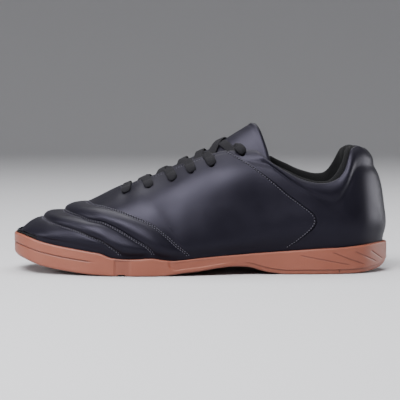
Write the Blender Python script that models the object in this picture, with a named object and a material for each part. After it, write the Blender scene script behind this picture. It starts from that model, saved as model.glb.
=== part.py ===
"""Indoor soccer shoe for the left foot, standing empty on its sole.

The toe points to -X, the heel to +X, and the outer (lateral) side faces -Y.
Metres, +Z up. The origin is on the floor under the middle of the shoe.
"""
import math

import bmesh
import bpy
import numpy as np
from mathutils import Matrix, Vector

for thing in list(bpy.data.objects):
    bpy.data.objects.remove(thing, do_unlink=True)

# Driving dimensions of the last and the shell
LENGTH = 0.274
BALL_WIDTH = 0.098
INSTEP_HEIGHT = 0.0944
HEEL_HEIGHT = 0.0904
WALL = 0.0022
GAP = 0.0003

# Upper: relief of its wall and its openings
QUILT_RISE = 0.0028
TOE_FLATTENING = 0.0024
PANEL_STEP = 0.0010
PANEL_EDGE = 0.0009
THROAT_WIDTH = 0.0330
EYELET_BORE = 0.0040
EYELET_INSET = 0.0110

# Sole: heights of its side, its edges and its tread
SIDE_HEIGHT = 0.0215
TOE_SPRING = 0.0120
ARCH_RISE = 0.0063
HEEL_BEVEL = 0.0090
LIP_WIDTH = 0.0026
FOOTBED_HEEL = 0.0135
SIDE_STEP = 0.0033
STEP_DEPTH = 0.0008
GROOVE_DEPTH = 0.0009
PANEL_RECESS = 0.0007
RIB_WIDTH = 0.0011
TREAD_DEPTH = 0.0014
TREAD_CUT = 0.0060

# Loose pieces
PAD_CLEARANCE = 0.0006
PAD_THICKNESS = 0.0060
PAD_DEPTH = 0.0300
TONGUE_THICKNESS = 0.0030
TONGUE_WIDTH = 0.0460
TONGUE_RISE = 0.0111
TONGUE_CLEARANCE = 0.0020
TONGUE_LIFT = 0.0022
INSOLE_THICKNESS = 0.0030
LACE_WIDTH = 0.0066
LACE_THICKNESS = 0.0012
LACE_CLEARANCE = 0.0009

# The two sides of the shoe: lateral faces -Y and medial faces +Y
LATERAL = -1.0
MEDIAL = 1.0
SIDES = (LATERAL, MEDIAL)

# Outline of the sole's lip. place: share of the length from the toe tip.
# lateral, medial: signed shares of the ball width.
OUTLINE = np.array((
    # place, lateral, medial
    (0.000, 0.082, 0.082),
    (0.035, -0.229, 0.361),
    (0.078, -0.337, 0.439),
    (0.143, -0.403, 0.474),
    (0.208, -0.465, 0.493),
    (0.274, -0.498, 0.495),
    (0.354, -0.509, 0.469),
    (0.427, -0.493, 0.413),
    (0.500, -0.460, 0.349),
    (0.573, -0.416, 0.309),
    (0.646, -0.380, 0.299),
    (0.726, -0.361, 0.315),
    (0.810, -0.357, 0.338),
    (0.880, -0.333, 0.326),
    (0.931, -0.284, 0.282),
    (0.971, -0.186, 0.186),
    (1.000, 0.000, 0.000),
))

# Centre line of the last, which leans to the medial side at the toe
CENTRE_LINE = np.array((
    # place, side as a share of the ball width
    (0.00, 0.075),
    (0.07, 0.068),
    (0.14, 0.050),
    (0.28, 0.026),
    (0.39, 0.015),
    (0.50, 0.005),
    (0.65, 0.000),
    (1.00, 0.000),
))

# Heights along the sole. lip: share of the side height. spring, arch, bevel: shares of
# the toe spring, the arch rise and the heel bevel. bed: share of the footbed at the heel.
SOLE_HEIGHTS = np.array((
    # place, lip, spring, arch, bevel, bed
    (0.000, 1.288, 1.00, 0.00, 0.00, 1.15),
    (0.035, 1.256, 0.80, 0.00, 0.00, 1.00),
    (0.078, 1.100, 0.54, 0.00, 0.00, 0.84),
    (0.143, 0.935, 0.27, 0.00, 0.00, 0.66),
    (0.208, 0.810, 0.11, 0.00, 0.00, 0.55),
    (0.247, 0.720, 0.05, 0.00, 0.00, 0.51),
    (0.263, 0.633, 0.03, 0.00, 0.00, 0.50),
    (0.290, 0.577, 0.00, 0.00, 0.00, 0.48),
    (0.334, 0.567, 0.00, 0.00, 0.00, 0.48),
    (0.380, 0.590, 0.00, 0.00, 0.00, 0.50),
    (0.406, 0.540, 0.00, 0.05, 0.00, 0.50),
    (0.427, 0.512, 0.00, 0.15, 0.00, 0.50),
    (0.460, 0.535, 0.00, 0.35, 0.00, 0.53),
    (0.505, 0.590, 0.00, 0.55, 0.00, 0.60),
    (0.550, 0.633, 0.00, 0.85, 0.00, 0.68),
    (0.595, 0.672, 0.00, 1.00, 0.00, 0.75),
    (0.632, 0.705, 0.00, 0.86, 0.00, 0.80),
    (0.664, 0.730, 0.00, 0.44, 0.00, 0.83),
    (0.695, 0.757, 0.00, 0.16, 0.00, 0.87),
    (0.725, 0.780, 0.00, 0.00, 0.00, 0.90),
    (0.807, 0.851, 0.00, 0.00, 0.00, 0.97),
    (0.880, 0.895, 0.00, 0.00, 0.00, 1.00),
    (0.920, 0.940, 0.00, 0.00, 0.06, 1.02),
    (0.970, 1.005, 0.00, 0.00, 0.26, 1.04),
    (1.000, 1.000, 0.00, 0.00, 0.80, 1.05),
))

# Sections of the last. top_place: where the section meets the top line. top_gap: half
# the opening there, share of the ball width. instep, heel: shares of the two heights
# that add up to the top. The belly, flank and shoulder columns are shares of the way in
# from the edge and of the way up from the lip.
SECTIONS = np.array((
    # place, top_place, top_gap, instep, heel, belly in, up, flank in, up, shoulder in, up
    (0.000, 0.058, 0.000, 0.380, 0.000, 0.06, 0.14, 0.22, 0.44, 0.54, 0.80),
    (0.035, 0.078, 0.000, 0.410, 0.000, 0.02, 0.16, 0.17, 0.46, 0.50, 0.80),
    (0.078, 0.102, 0.000, 0.432, 0.000, 0.00, 0.18, 0.12, 0.50, 0.42, 0.82),
    (0.143, 0.143, 0.000, 0.472, 0.000, -0.01, 0.20, 0.07, 0.52, 0.33, 0.83),
    (0.208, 0.208, 0.000, 0.545, 0.000, -0.02, 0.17, 0.07, 0.51, 0.38, 0.84),
    (0.274, 0.274, 0.000, 0.628, 0.000, -0.03, 0.15, 0.09, 0.52, 0.43, 0.85),
    (0.380, 0.380, 0.000, 0.766, 0.000, -0.04, 0.12, 0.13, 0.49, 0.46, 0.81),
    (0.500, 0.500, 0.000, 0.932, 0.000, -0.04, 0.13, 0.11, 0.47, 0.41, 0.80),
    (0.610, 0.610, 0.000, 1.055, 0.000, -0.07, 0.13, 0.02, 0.44, 0.26, 0.74),
    (0.700, 0.700, 0.120, 0.550, 0.570, -0.17, 0.16, -0.06, 0.41, 0.20, 0.66),
    (0.800, 0.800, 0.205, 0.000, 1.150, -0.32, 0.16, -0.20, 0.38, 0.11, 0.58),
    (0.880, 0.868, 0.180, 0.000, 1.140, -0.26, 0.15, -0.18, 0.36, 0.12, 0.58),
    (0.940, 0.900, 0.115, 0.000, 1.100, -0.18, 0.14, -0.11, 0.36, 0.17, 0.64),
    (1.000, 0.934, 0.000, 0.000, 1.030, -0.13, 0.14, -0.06, 0.36, 0.21, 0.67),
))
SECTION_STEPS = np.array((0.0, 0.10, 0.24, 0.48, 0.74, 1.0))
OPEN_TOP_FROM = 0.61
OPEN_TOP_FULL = 0.70

# The rim of the collar, by place along the sole. lateral, medial: shares of the heel height.
COLLAR_RIM = np.array((
    # place, lateral, medial
    (0.560, 1.080, 1.080),
    (0.590, 1.060, 1.062),
    (0.610, 1.045, 1.050),
    (0.629, 1.026, 1.036),
    (0.647, 0.984, 1.000),
    (0.669, 0.925, 0.950),
    (0.704, 0.848, 0.880),
    (0.732, 0.802, 0.836),
    (0.755, 0.763, 0.798),
    (0.785, 0.730, 0.765),
    (0.815, 0.714, 0.748),
    (0.845, 0.724, 0.752),
    (0.870, 0.762, 0.780),
    (0.886, 0.818, 0.830),
    (0.902, 0.905, 0.910),
    (0.918, 0.968, 0.970),
    (0.940, 0.996, 0.996),
    (0.965, 1.000, 1.000),
    (1.000, 0.984, 0.984),
))

# Half width of the throat between the lace panels, share of the throat's width
THROAT = np.array((
    # place, half width
    (0.310, 0.320),
    (0.369, 0.364),
    (0.420, 0.394),
    (0.470, 0.424),
    (0.530, 0.470),
    (0.567, 0.500),
    (0.610, 0.536),
    (0.700, 0.640),
))
THROAT_FRONT = 0.281
THROAT_ROUND = 0.310
THROAT_BACK = 0.700

# The line where the side panel laps over the rear quarter. up: step on the section.
SEAM = np.array((
    # up, place
    (0.00, 0.710),
    (0.12, 0.731),
    (0.18, 0.763),
    (0.25, 0.794),
    (0.32, 0.804),
    (0.37, 0.797),
    (0.43, 0.776),
    (0.53, 0.736),
    (0.66, 0.684),
    (0.74, 0.637),
    (0.80, 0.598),
    (0.90, 0.553),
    (1.00, 0.530),
))

# Stitched valleys between the quilted ridges: where each one lies at a step up the section
VALLEY_LINES = np.array((
    # up, valley_1, valley_2, valley_3
    (0.00, 0.294, 0.380, 0.480),
    (0.10, 0.293, 0.379, 0.475),
    (0.17, 0.288, 0.377, 0.465),
    (0.25, 0.262, 0.362, 0.443),
    (0.32, 0.218, 0.331, 0.420),
    (0.40, 0.181, 0.292, 0.382),
    (0.48, 0.150, 0.254, 0.341),
    (0.56, 0.125, 0.213, 0.303),
    (0.65, 0.100, 0.186, 0.264),
    (0.78, 0.070, 0.158, 0.223),
    (0.90, 0.048, 0.139, 0.203),
    (1.00, 0.036, 0.132, 0.197),
))

# Key lines of the upper, from the sole to its top edge: the toe, the three quilting
# valleys, the throat front, the waist, the seam, the collar dip and the heel.
# bottom, top: places. lines: how many lines lie between it and the next one.
KEY_LINES = (
    # name, bottom, top, lines
    ("toe", 0.000, 0.000, 10),
    ("valley_1", None, None, 5),
    ("valley_2", None, None, 5),
    ("valley_3", None, None, 4),
    ("throat_front", 0.520, 0.281, 4),
    ("throat_side", 0.535, 0.318, 3),
    ("waist", 0.585, 0.420, 4),
    ("seam", None, None, 12),
    ("collar_dip", 0.875, 0.875, 11),
    ("heel", 1.000, 1.000, 0),
)
VALLEYS = ("valley_1", "valley_2", "valley_3")
QUILTED = ("toe", "valley_1", "valley_2")

# Eyelets, from the toe: place along the shoe
EYELETS = (0.303, 0.363, 0.425, 0.480, 0.533, 0.610)
LACE_STEP = 0.0046
BAR_STEP = 0.0080
THROAT_TUCK = 0.0035


def smooth_line(knots, values, at):
    """Runs a smooth curve through a table's rows and reads it at the places given."""
    knots = np.asarray(knots, float)
    values = np.asarray(values, float)
    at = np.clip(np.asarray(at, float), knots[0], knots[-1])
    steps = np.diff(knots)
    shape = (-1,) + (1,) * (values.ndim - 1)
    slopes = np.diff(values, axis=0) / steps.reshape(shape)
    before, after = steps[:-1].reshape(shape), steps[1:].reshape(shape)
    inner = (after * slopes[:-1] + before * slopes[1:]) / (before + after)
    tangents = np.concatenate([slopes[:1], inner, slopes[-1:]])
    row = np.clip(np.searchsorted(knots, at, side="right") - 1, 0, len(steps) - 1)
    wide = at.shape + (1,) * (values.ndim - 1)
    span = steps[row].reshape(wide)
    f = ((at - knots[row]) / steps[row]).reshape(wide)
    start, end = values[row], values[row + 1]
    return ((2 * f**3 - 3 * f**2 + 1) * start + (f**3 - 2 * f**2 + f) * span * tangents[row]
            + (3 * f**2 - 2 * f**3) * end + (f**3 - f**2) * span * tangents[row + 1])


def around(place):
    """Turns a share of the length into a share of the way round the outline."""
    return np.arccos(1 - 2 * np.clip(place, 0.0, 1.0)) / math.pi


def place_of(turn):
    """Turns a share of the way round the outline into a share of the length."""
    return (1 - np.cos(math.pi * np.asarray(turn, float))) / 2


def along(place):
    """The X of a share of the length."""
    return LENGTH * (np.asarray(place, float) - 0.5)


def column(table, index, turn):
    """Reads one column of a table whose first column is a place, round the outline."""
    return smooth_line(around(table[:, 0]), table[:, index], turn)


def outline(side, turn):
    """The lip's outline on one side, as X and Y, with its outward direction."""
    turns = around(OUTLINE[:, 0])
    loop = np.concatenate([turns[-4:-1] - 2, -turns[::-1][:-1], turns, 2 - turns[::-1][1:4]])
    lateral, medial = OUTLINE[:, 1], OUTLINE[:, 2]
    ys = np.concatenate([medial[-4:-1], lateral[::-1][:-1], medial, lateral[::-1][1:4]])
    spot = side * np.asarray(turn, float)
    nudge = 1e-4

    def y_at(where):
        return BALL_WIDTH * smooth_line(loop, ys, where)

    x = along(place_of(spot))
    dx = along(place_of(spot + nudge)) - along(place_of(spot - nudge))
    dy = y_at(spot + nudge) - y_at(spot - nudge)
    size = np.hypot(dx, dy)
    return x, y_at(spot), -dy / size, dx / size


def inset_outline(side, turn, inset):
    """The lip's outline moved inwards by a distance."""
    x, y, out_x, out_y = outline(side, turn)
    return x - inset * out_x, y - inset * out_y


def centre_side(place):
    """The Y of the centre line at a place along the shoe."""
    return BALL_WIDTH * smooth_line(CENTRE_LINE[:, 0], CENTRE_LINE[:, 1], place)


def lip_height(turn):
    return SIDE_HEIGHT * column(SOLE_HEIGHTS, 1, turn)


def bottom_height(turn):
    spring, arch, bevel = (column(SOLE_HEIGHTS, index, turn) for index in (2, 3, 4))
    return np.maximum(TOE_SPRING * spring + ARCH_RISE * arch + HEEL_BEVEL * bevel, 0.0)


def bed_height(turn):
    return FOOTBED_HEEL * column(SOLE_HEIGHTS, 5, turn)


def last_surface(side, turn, up):
    """A point of the last: turn runs round from toe to heel, up from the sole to the top."""
    turn, up = np.broadcast_arrays(np.asarray(turn, float), np.asarray(up, float))
    foot_x, foot_y = inset_outline(side, turn, LIP_WIDTH + GAP)
    foot_z = bed_height(turn) + GAP
    lip_z = lip_height(turn) + 2 * GAP
    top_place = column(SECTIONS, 1, turn)
    top_x = along(top_place)
    top_y = centre_side(top_place) + side * BALL_WIDTH * np.maximum(column(SECTIONS, 2, turn), 0)
    top_z = INSTEP_HEIGHT * column(SECTIONS, 3, turn) + HEEL_HEIGHT * column(SECTIONS, 4, turn)
    nudge = 1e-3
    ahead = column(SECTIONS, 1, turn + nudge), column(SECTIONS, 3, turn + nudge)
    behind = column(SECTIONS, 1, turn - nudge), column(SECTIONS, 3, turn - nudge)
    run = LENGTH * (ahead[0] - behind[0])
    ridge_slope = INSTEP_HEIGHT * (ahead[1] - behind[1]) / np.maximum(run, 1e-6)
    rise = top_z - lip_z
    inward = [np.zeros_like(turn), np.zeros_like(turn)]
    height = [foot_z, lip_z]
    for first in (5, 7, 9):
        inward.append(column(SECTIONS, first, turn))
        height.append(lip_z + rise * column(SECTIONS, first + 1, turn))
    inward.append(np.ones_like(turn))
    height.append(top_z)
    inward, height = np.array(inward), np.array(height)
    steps = np.diff(SECTION_STEPS).reshape(-1, *([1] * turn.ndim))

    def tangents(values):
        slopes = np.diff(values, axis=0) / steps
        middle = (steps[1:] * slopes[:-1] + steps[:-1] * slopes[1:]) / (steps[1:] + steps[:-1])
        return np.concatenate([slopes[:1], middle, slopes[-1:]])

    way_in, way_up = tangents(inward), tangents(height)
    opened = np.clip((place_of(turn) - OPEN_TOP_FROM) / (OPEN_TOP_FULL - OPEN_TOP_FROM), 0, 1)
    flat_end = ridge_slope * (top_x - foot_x) * way_in[-1]
    way_up[-1] = opened * way_up[-1] + (1 - opened) * flat_end
    row = np.clip(np.searchsorted(SECTION_STEPS, up, side="right") - 1, 0, 4)
    span = np.diff(SECTION_STEPS)[row]
    f = (up - SECTION_STEPS[row]) / span

    def blend(values, ways):
        def pick(source, offset):
            return np.take_along_axis(source, (row + offset)[None], axis=0)[0]
        return ((2 * f**3 - 3 * f**2 + 1) * pick(values, 0) + (f**3 - 2 * f**2 + f) * span * pick(ways, 0)
                + (3 * f**2 - 2 * f**3) * pick(values, 1) + (f**3 - f**2) * span * pick(ways, 1))

    share, z = blend(inward, way_in), blend(height, way_up)
    return np.stack([foot_x + share * (top_x - foot_x), foot_y + share * (top_y - foot_y), z], axis=-1)


def unit(vectors):
    return vectors / np.maximum(np.linalg.norm(vectors, axis=-1, keepdims=True), 1e-12)


def outward(side, turn, up):
    """The last's outward direction at a point."""
    nudge = 1e-3
    round_way = last_surface(side, np.minimum(turn + nudge, 1.0), up)
    round_way = round_way - last_surface(side, np.maximum(turn - nudge, 0.0), up)
    up_way = last_surface(side, turn, np.minimum(up + nudge, 1.0))
    up_way = up_way - last_surface(side, turn, np.maximum(up - nudge, 0.0))
    return unit(-side * np.cross(round_way, up_way))


def throat_half(place):
    """Half the throat's width at a place, with its rounded front end."""
    half = THROAT_WIDTH * smooth_line(THROAT[:, 0], THROAT[:, 1], np.maximum(place, THROAT_ROUND))
    back = np.clip((THROAT_ROUND - place) / (THROAT_ROUND - THROAT_FRONT), 0.0, 1.0)
    return half * np.sqrt(1 - back**2)


def top_edge(side, turn):
    """How far up a section the upper reaches: to the centre line, the throat or the collar rim."""
    ups = np.linspace(0.30, 1.0, 141)
    turn = np.atleast_1d(turn)
    points = last_surface(side, turn[:, None], ups[None, :])
    place = points[..., 0] / LENGTH + 0.5
    off_centre = np.abs(points[..., 1] - centre_side(place)) - throat_half(place)
    off_centre = np.where((place < THROAT_FRONT) | (place > THROAT_BACK), 1.0, off_centre)
    rim = HEEL_HEIGHT * smooth_line(COLLAR_RIM[:, 0], COLLAR_RIM[:, 1 if side < 0 else 2], place_of(turn))
    off_rim = np.where(place_of(turn) < COLLAR_RIM[0][0], 1.0, rim)[:, None] - points[..., 2]
    inside = np.minimum(off_centre, off_rim)
    reach = np.ones(len(turn))
    for index, values in enumerate(inside):
        crossing = np.nonzero(values <= 0)[0]
        if len(crossing) and crossing[0] > 0:
            low = crossing[0] - 1
            share = values[low] / (values[low] - values[low + 1])
            reach[index] = ups[low] + share * (ups[low + 1] - ups[low])
    return reach


def seam_turn(up):
    return around(smooth_line(SEAM[:, 0], SEAM[:, 1], up))


def key_turn(key, up):
    """Where a key line lies round the shoe at a step up the section."""
    name, bottom, top, _ = key
    if name == "seam":
        return seam_turn(up)
    if name in VALLEYS:
        return around(smooth_line(VALLEY_LINES[:, 0], VALLEY_LINES[:, VALLEYS.index(name) + 1], up))
    return around(bottom) * (1 - up) + around(top) * up


def grid_lines():
    """Every line of the upper as a pair of key lines, a share between them and a panel flag."""
    lines = []
    for index, key in enumerate(KEY_LINES[:-1]):
        count = key[3]
        for step in range(count):
            lines.append((index, step / count, index < 7 or (index == 7 and step == 0)))
            if key[0] == "seam" and step == 0:
                lines.append((index, 0.0, False))
    lines.append((len(KEY_LINES) - 2, 1.0, False))
    return lines


def line_turn(line, up):
    index, share, on_panel = line
    here = key_turn(KEY_LINES[index], up)
    there = key_turn(KEY_LINES[index + 1], up)
    turn = here * (1 - share) + there * share
    if KEY_LINES[index][0] == "seam" and share == 0.0 and not on_panel:
        turn = turn + PANEL_EDGE / LENGTH
    return turn


# Power that moves the top of each quilted ridge towards the toe
QUILT_LEAN = 0.75


def relief(line, up):
    """How far the upper's outside stands off the last: quilting ridges and the side panel."""
    index, share, on_panel = line
    above_lip = np.clip((up - 0.12) / 0.10, 0.0, 1.0)
    above_lip = above_lip**2 * (3 - 2 * above_lip)
    height = np.zeros_like(up)
    if KEY_LINES[index][0] in QUILTED:
        swell = share
        if KEY_LINES[index][0] == "toe":
            swell = (1 + share) / 2
            height = height - TOE_FLATTENING * (1 - share) * np.clip((up - 0.15) / 0.45, 0, 1)
        bulge = math.sin(math.pi * swell ** QUILT_LEAN) ** 0.7
        height = height + QUILT_RISE * bulge * np.clip((up - 0.13) / 0.27, 0, 1)
    elif on_panel:
        lead_in = share if KEY_LINES[index][0] == "valley_3" else 1.0
        height = height + PANEL_STEP * lead_in * above_lip
    return height


def upper_columns(side, rows):
    """Turn, up and relief of each grid point of the upper on one side, line by line."""
    lines = grid_lines()
    reach = np.ones(len(lines))
    for _ in range(14):
        turns = np.array([float(line_turn(line, level)) for line, level in zip(lines, reach)])
        reach = 0.5 * reach + 0.5 * top_edge(side, turns)
    table = []
    for line, level in zip(lines, reach):
        closed = line[0] < 4 or (line[0] == 4 and line[1] == 0.0)
        ups = (1.0 if closed else level) * np.asarray(rows)
        table.append((line_turn(line, ups), ups, relief(line, ups), closed))
    return table


def solid_from(name, points_of, ring_count, closed_ring, line_count, colour, roughness, open_lines=None):
    """Builds a closed body from rings of points on the two sides, and merges what they share."""
    shape = bmesh.new()
    for side in SIDES:
        grid = [[shape.verts.new(point) for point in points_of(side, line)] for line in range(line_count)]
        last_ring = ring_count if closed_ring else ring_count - 1
        for line in range(line_count - 1):
            for ring in range(last_ring):
                if open_lines is not None and not open_lines(line, ring):
                    continue
                after = (ring + 1) % ring_count
                corners = [grid[line][ring], grid[line + 1][ring],
                           grid[line + 1][after], grid[line][after]]
                shape.faces.new(corners)
    bmesh.ops.remove_doubles(shape, verts=shape.verts, dist=2e-6)
    bmesh.ops.dissolve_degenerate(shape, edges=shape.edges, dist=1e-6)
    return finish_body(name, shape, colour, roughness)


def finish_body(name, shape, colour, roughness):
    """Turns a bmesh into a named object with its own material."""
    bmesh.ops.triangulate(shape, faces=shape.faces)
    bmesh.ops.recalc_face_normals(shape, faces=shape.faces)
    mesh = bpy.data.meshes.new(name)
    shape.to_mesh(mesh)
    shape.free()
    mesh.shade_smooth()
    mesh.set_sharp_from_angle(angle=math.radians(35))
    body = bpy.data.objects.new(name, mesh)
    bpy.context.collection.objects.link(body)
    material = bpy.data.materials.new(name)
    material.use_nodes = True
    shader = material.node_tree.nodes["Principled BSDF"]
    shader.inputs["Base Color"].default_value = (*colour, 1.0)
    shader.inputs["Roughness"].default_value = roughness
    mesh.materials.append(material)
    return body


# Upper

BLACK_LEATHER = (0.018, 0.018, 0.021)
GUM_RUBBER = (0.52, 0.30, 0.18)
BLACK_MESH = (0.012, 0.012, 0.013)
BLACK_WEBBING = (0.015, 0.015, 0.017)

OUTER_ROWS = (0.0, 0.11, 0.19, 0.31, 0.45, 0.60, 0.76, 0.89, 1.0)


def shell_point(side, turn, up, off, closed):
    """A point off the last, where both sides agree on the lines that they share."""
    normal = outward(side, turn, up)
    if closed:
        normal = unit(normal + outward(-side, turn, up))
    spot = last_surface(side, turn, up)
    if closed:
        spot = (spot + last_surface(-side, turn, up)) / 2
    return spot + off[..., None] * normal


def upper_ring(side, entry, is_end):
    """The outer points of a line from sole to edge, then the inner points back down."""
    turn, up, rise, closed = entry
    shared = np.zeros(len(up), bool)
    shared[-1] = closed
    if is_end:
        shared[:] = True
    outer = np.where(shared[:, None], shell_point(side, turn, up, rise, True),
                     shell_point(side, turn, up, rise, False))
    inner = np.where(shared[:, None], shell_point(side, turn, up, rise * 0 - WALL, True),
                     shell_point(side, turn, up, rise * 0 - WALL, False))
    inner[0, 2] = outer[0, 2]
    return [tuple(point) for point in outer] + [tuple(point) for point in inner[::-1]]


def build_upper():
    columns = {side: upper_columns(side, OUTER_ROWS) for side in SIDES}
    count = len(columns[LATERAL])
    rings = {}
    for side in SIDES:
        rings[side] = [upper_ring(side, columns[side][line], line in (0, count - 1))
                       for line in range(count)]
    size = 2 * len(OUTER_ROWS)
    edge_ring = len(OUTER_ROWS) - 1
    closed_lines = [entry[3] for entry in columns[LATERAL]]

    def wanted(line, ring):
        return ring != edge_ring or not (closed_lines[line] and closed_lines[line + 1])

    return solid_from("upper", lambda side, line: rings[side][line], size, True, count,
                      BLACK_LEATHER, 0.42, wanted)


def instep_sections():
    """Sections of the last over the instep, with their outward directions, for both sides."""
    places = np.linspace(0.15, THROAT_BACK, 80)
    ups = np.linspace(0.30, 1.0, 80)
    turns, levels = np.meshgrid(around(places), ups, indexing="ij")
    return places, {side: (last_surface(side, turns, levels), outward(side, turns, levels)) for side in SIDES}


SECTION_PLACES, SECTION_POINTS = instep_sections()
INSTEP_SLOPE = 0.30
MAP_X = np.arange(-0.084, 0.0561, 0.001)
MAP_Y = np.arange(-0.036, 0.0381, 0.001)


def skin_row(x, off):
    """Heights of the last, moved off its surface, across the instep at one X."""
    place = min(max(x / LENGTH + 0.5, SECTION_PLACES[0]), SECTION_PLACES[-1])
    middle = float(centre_side(place))
    step = (place - SECTION_PLACES[0]) / (SECTION_PLACES[1] - SECTION_PLACES[0])
    low = min(int(step), len(SECTION_PLACES) - 2)
    total = np.zeros(len(MAP_Y))
    for row, weight in ((low, 1 - step + low), (low + 1, step - low)):
        for side in SIDES:
            points, normals = SECTION_POINTS[side]
            moved = points[row] + off * normals[row]
            reach = side * (moved[:, 1] - centre_side(SECTION_PLACES[row]))
            heights = np.interp(side * (MAP_Y - middle), reach[::-1], moved[::-1, 2])
            total += weight * np.where(side * (MAP_Y - middle) > 0, heights, 0.0)
    return total + (x - float(along(place))) * INSTEP_SLOPE


def read_map(heights, x, y):
    """Reads a height map of the instep between its points."""
    step_x = np.clip((np.asarray(x) - MAP_X[0]) / 0.001, 0, len(MAP_X) - 1.001)
    step_y = np.clip((np.asarray(y) - MAP_Y[0]) / 0.001, 0, len(MAP_Y) - 1.001)
    row, line = step_x.astype(int), step_y.astype(int)
    f, g = step_x - row, step_y - line
    return ((1 - f) * (1 - g) * heights[row, line] + f * (1 - g) * heights[row + 1, line]
            + (1 - f) * g * heights[row, line + 1] + f * g * heights[row + 1, line + 1])


def map_normal(heights, x, y, nudge=0.0012):
    """The upward direction of a height map at a spot."""
    slope_x = (read_map(heights, x + nudge, y) - read_map(heights, x - nudge, y)) / (2 * nudge)
    slope_y = (read_map(heights, x, y + nudge) - read_map(heights, x, y - nudge)) / (2 * nudge)
    return unit(np.array([-slope_x, -slope_y, 1.0]))


# Tongue

TONGUE_START = 0.235
TONGUE_END = 0.635
TONGUE_SLANT = 0.0125
TONGUE_LINES = 15
TONGUE_ROWS = 13


def level_out(heights, reach_x, reach_y):
    """Rounds a height map off by averaging over a few millimetres."""
    padded = np.pad(heights, ((reach_x, reach_x), (reach_y, reach_y)), mode="edge")
    total = np.zeros_like(heights)
    for i in range(2 * reach_x + 1):
        for j in range(2 * reach_y + 1):
            total += padded[i:i + heights.shape[0], j:j + heights.shape[1]]
    return total / ((2 * reach_x + 1) * (2 * reach_y + 1))


def tongue_map():
    """Heights of the tongue's outside: under the lace panels, and raised between them."""
    under = WALL + TONGUE_CLEARANCE
    rows, low_rows, clear_rows = [], [], []
    for x in MAP_X:
        place = x / LENGTH + 0.5
        half = float(throat_half(np.array(min(max(place, 0.0), THROAT_BACK)))) - TONGUE_LIFT
        low = skin_row(x, -under)
        flat = np.abs(MAP_Y - float(centre_side(place)))
        rise = TONGUE_LIFT + TONGUE_RISE * max(0.0, (place - 0.50) / (TONGUE_END - 0.50)) ** 1.5
        lift = 0.5 + 0.5 * np.cos(math.pi * np.minimum(flat / max(half, 0.001), 1.0))
        rows.append(low + (lift * rise if half > 0.002 else 0.0))
        low_rows.append(low)
        clear_rows.append(flat < half + 0.0005)
    low = np.array(low_rows)
    rounded = level_out(np.array(rows), 2, 5)
    return np.where(np.array(clear_rows), rounded, np.minimum(rounded, low))


TONGUE_TOP = tongue_map()


def build_tongue():
    shape = bmesh.new()
    grid_top, grid_bottom = [], []
    for line in range(TONGUE_LINES):
        place = TONGUE_START + (TONGUE_END - TONGUE_START) * line / (TONGUE_LINES - 1)
        reach = min(1.0, 0.60 + 1.6 * (place - TONGUE_START) / (TONGUE_END - TONGUE_START))
        slant = TONGUE_SLANT * max(0.0, (place - 0.45) / (TONGUE_END - 0.45))
        top_row, bottom_row = [], []
        for row in range(TONGUE_ROWS):
            across = -1 + 2 * row / (TONGUE_ROWS - 1)
            x = float(along(place)) + slant * abs(across) ** 1.6
            y = float(centre_side(place)) + across * reach * TONGUE_WIDTH / 2
            spot = np.array([x, y, float(read_map(TONGUE_TOP, x, y))])
            top_row.append(spot)
            bottom_row.append(spot - TONGUE_THICKNESS * map_normal(TONGUE_TOP, x, y))
        grid_top.append([shape.verts.new(point) for point in top_row])
        grid_bottom.append([shape.verts.new(point) for point in bottom_row])
    lines, rows = TONGUE_LINES, TONGUE_ROWS
    for grid in (grid_top, grid_bottom):
        for line in range(lines - 1):
            for row in range(rows - 1):
                shape.faces.new([grid[line][row], grid[line + 1][row],
                                 grid[line + 1][row + 1], grid[line][row + 1]])
    rim = [(0, row) for row in range(rows)] + [(line, rows - 1) for line in range(1, lines)]
    rim += [(lines - 1, row) for row in range(rows - 2, -1, -1)] + [(line, 0) for line in range(lines - 2, 0, -1)]
    for index, here in enumerate(rim):
        there = rim[(index + 1) % len(rim)]
        shape.faces.new([grid_top[here[0]][here[1]], grid_top[there[0]][there[1]],
                         grid_bottom[there[0]][there[1]], grid_bottom[here[0]][here[1]]])
    return finish_body("tongue", shape, BLACK_LEATHER, 0.45)


# Collar pad: the soft lining roll along the inside of the collar

PAD_FROM = 0.684
PAD_LINES = 26
# down: share of the pad's depth below the rim. thick: share of the pad's thickness.
PAD_SHAPE = (
    # down, thick
    (0.02, 0.55),
    (0.14, 0.92),
    (0.34, 1.00),
    (0.62, 0.72),
    (1.00, 0.16),
)


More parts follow.
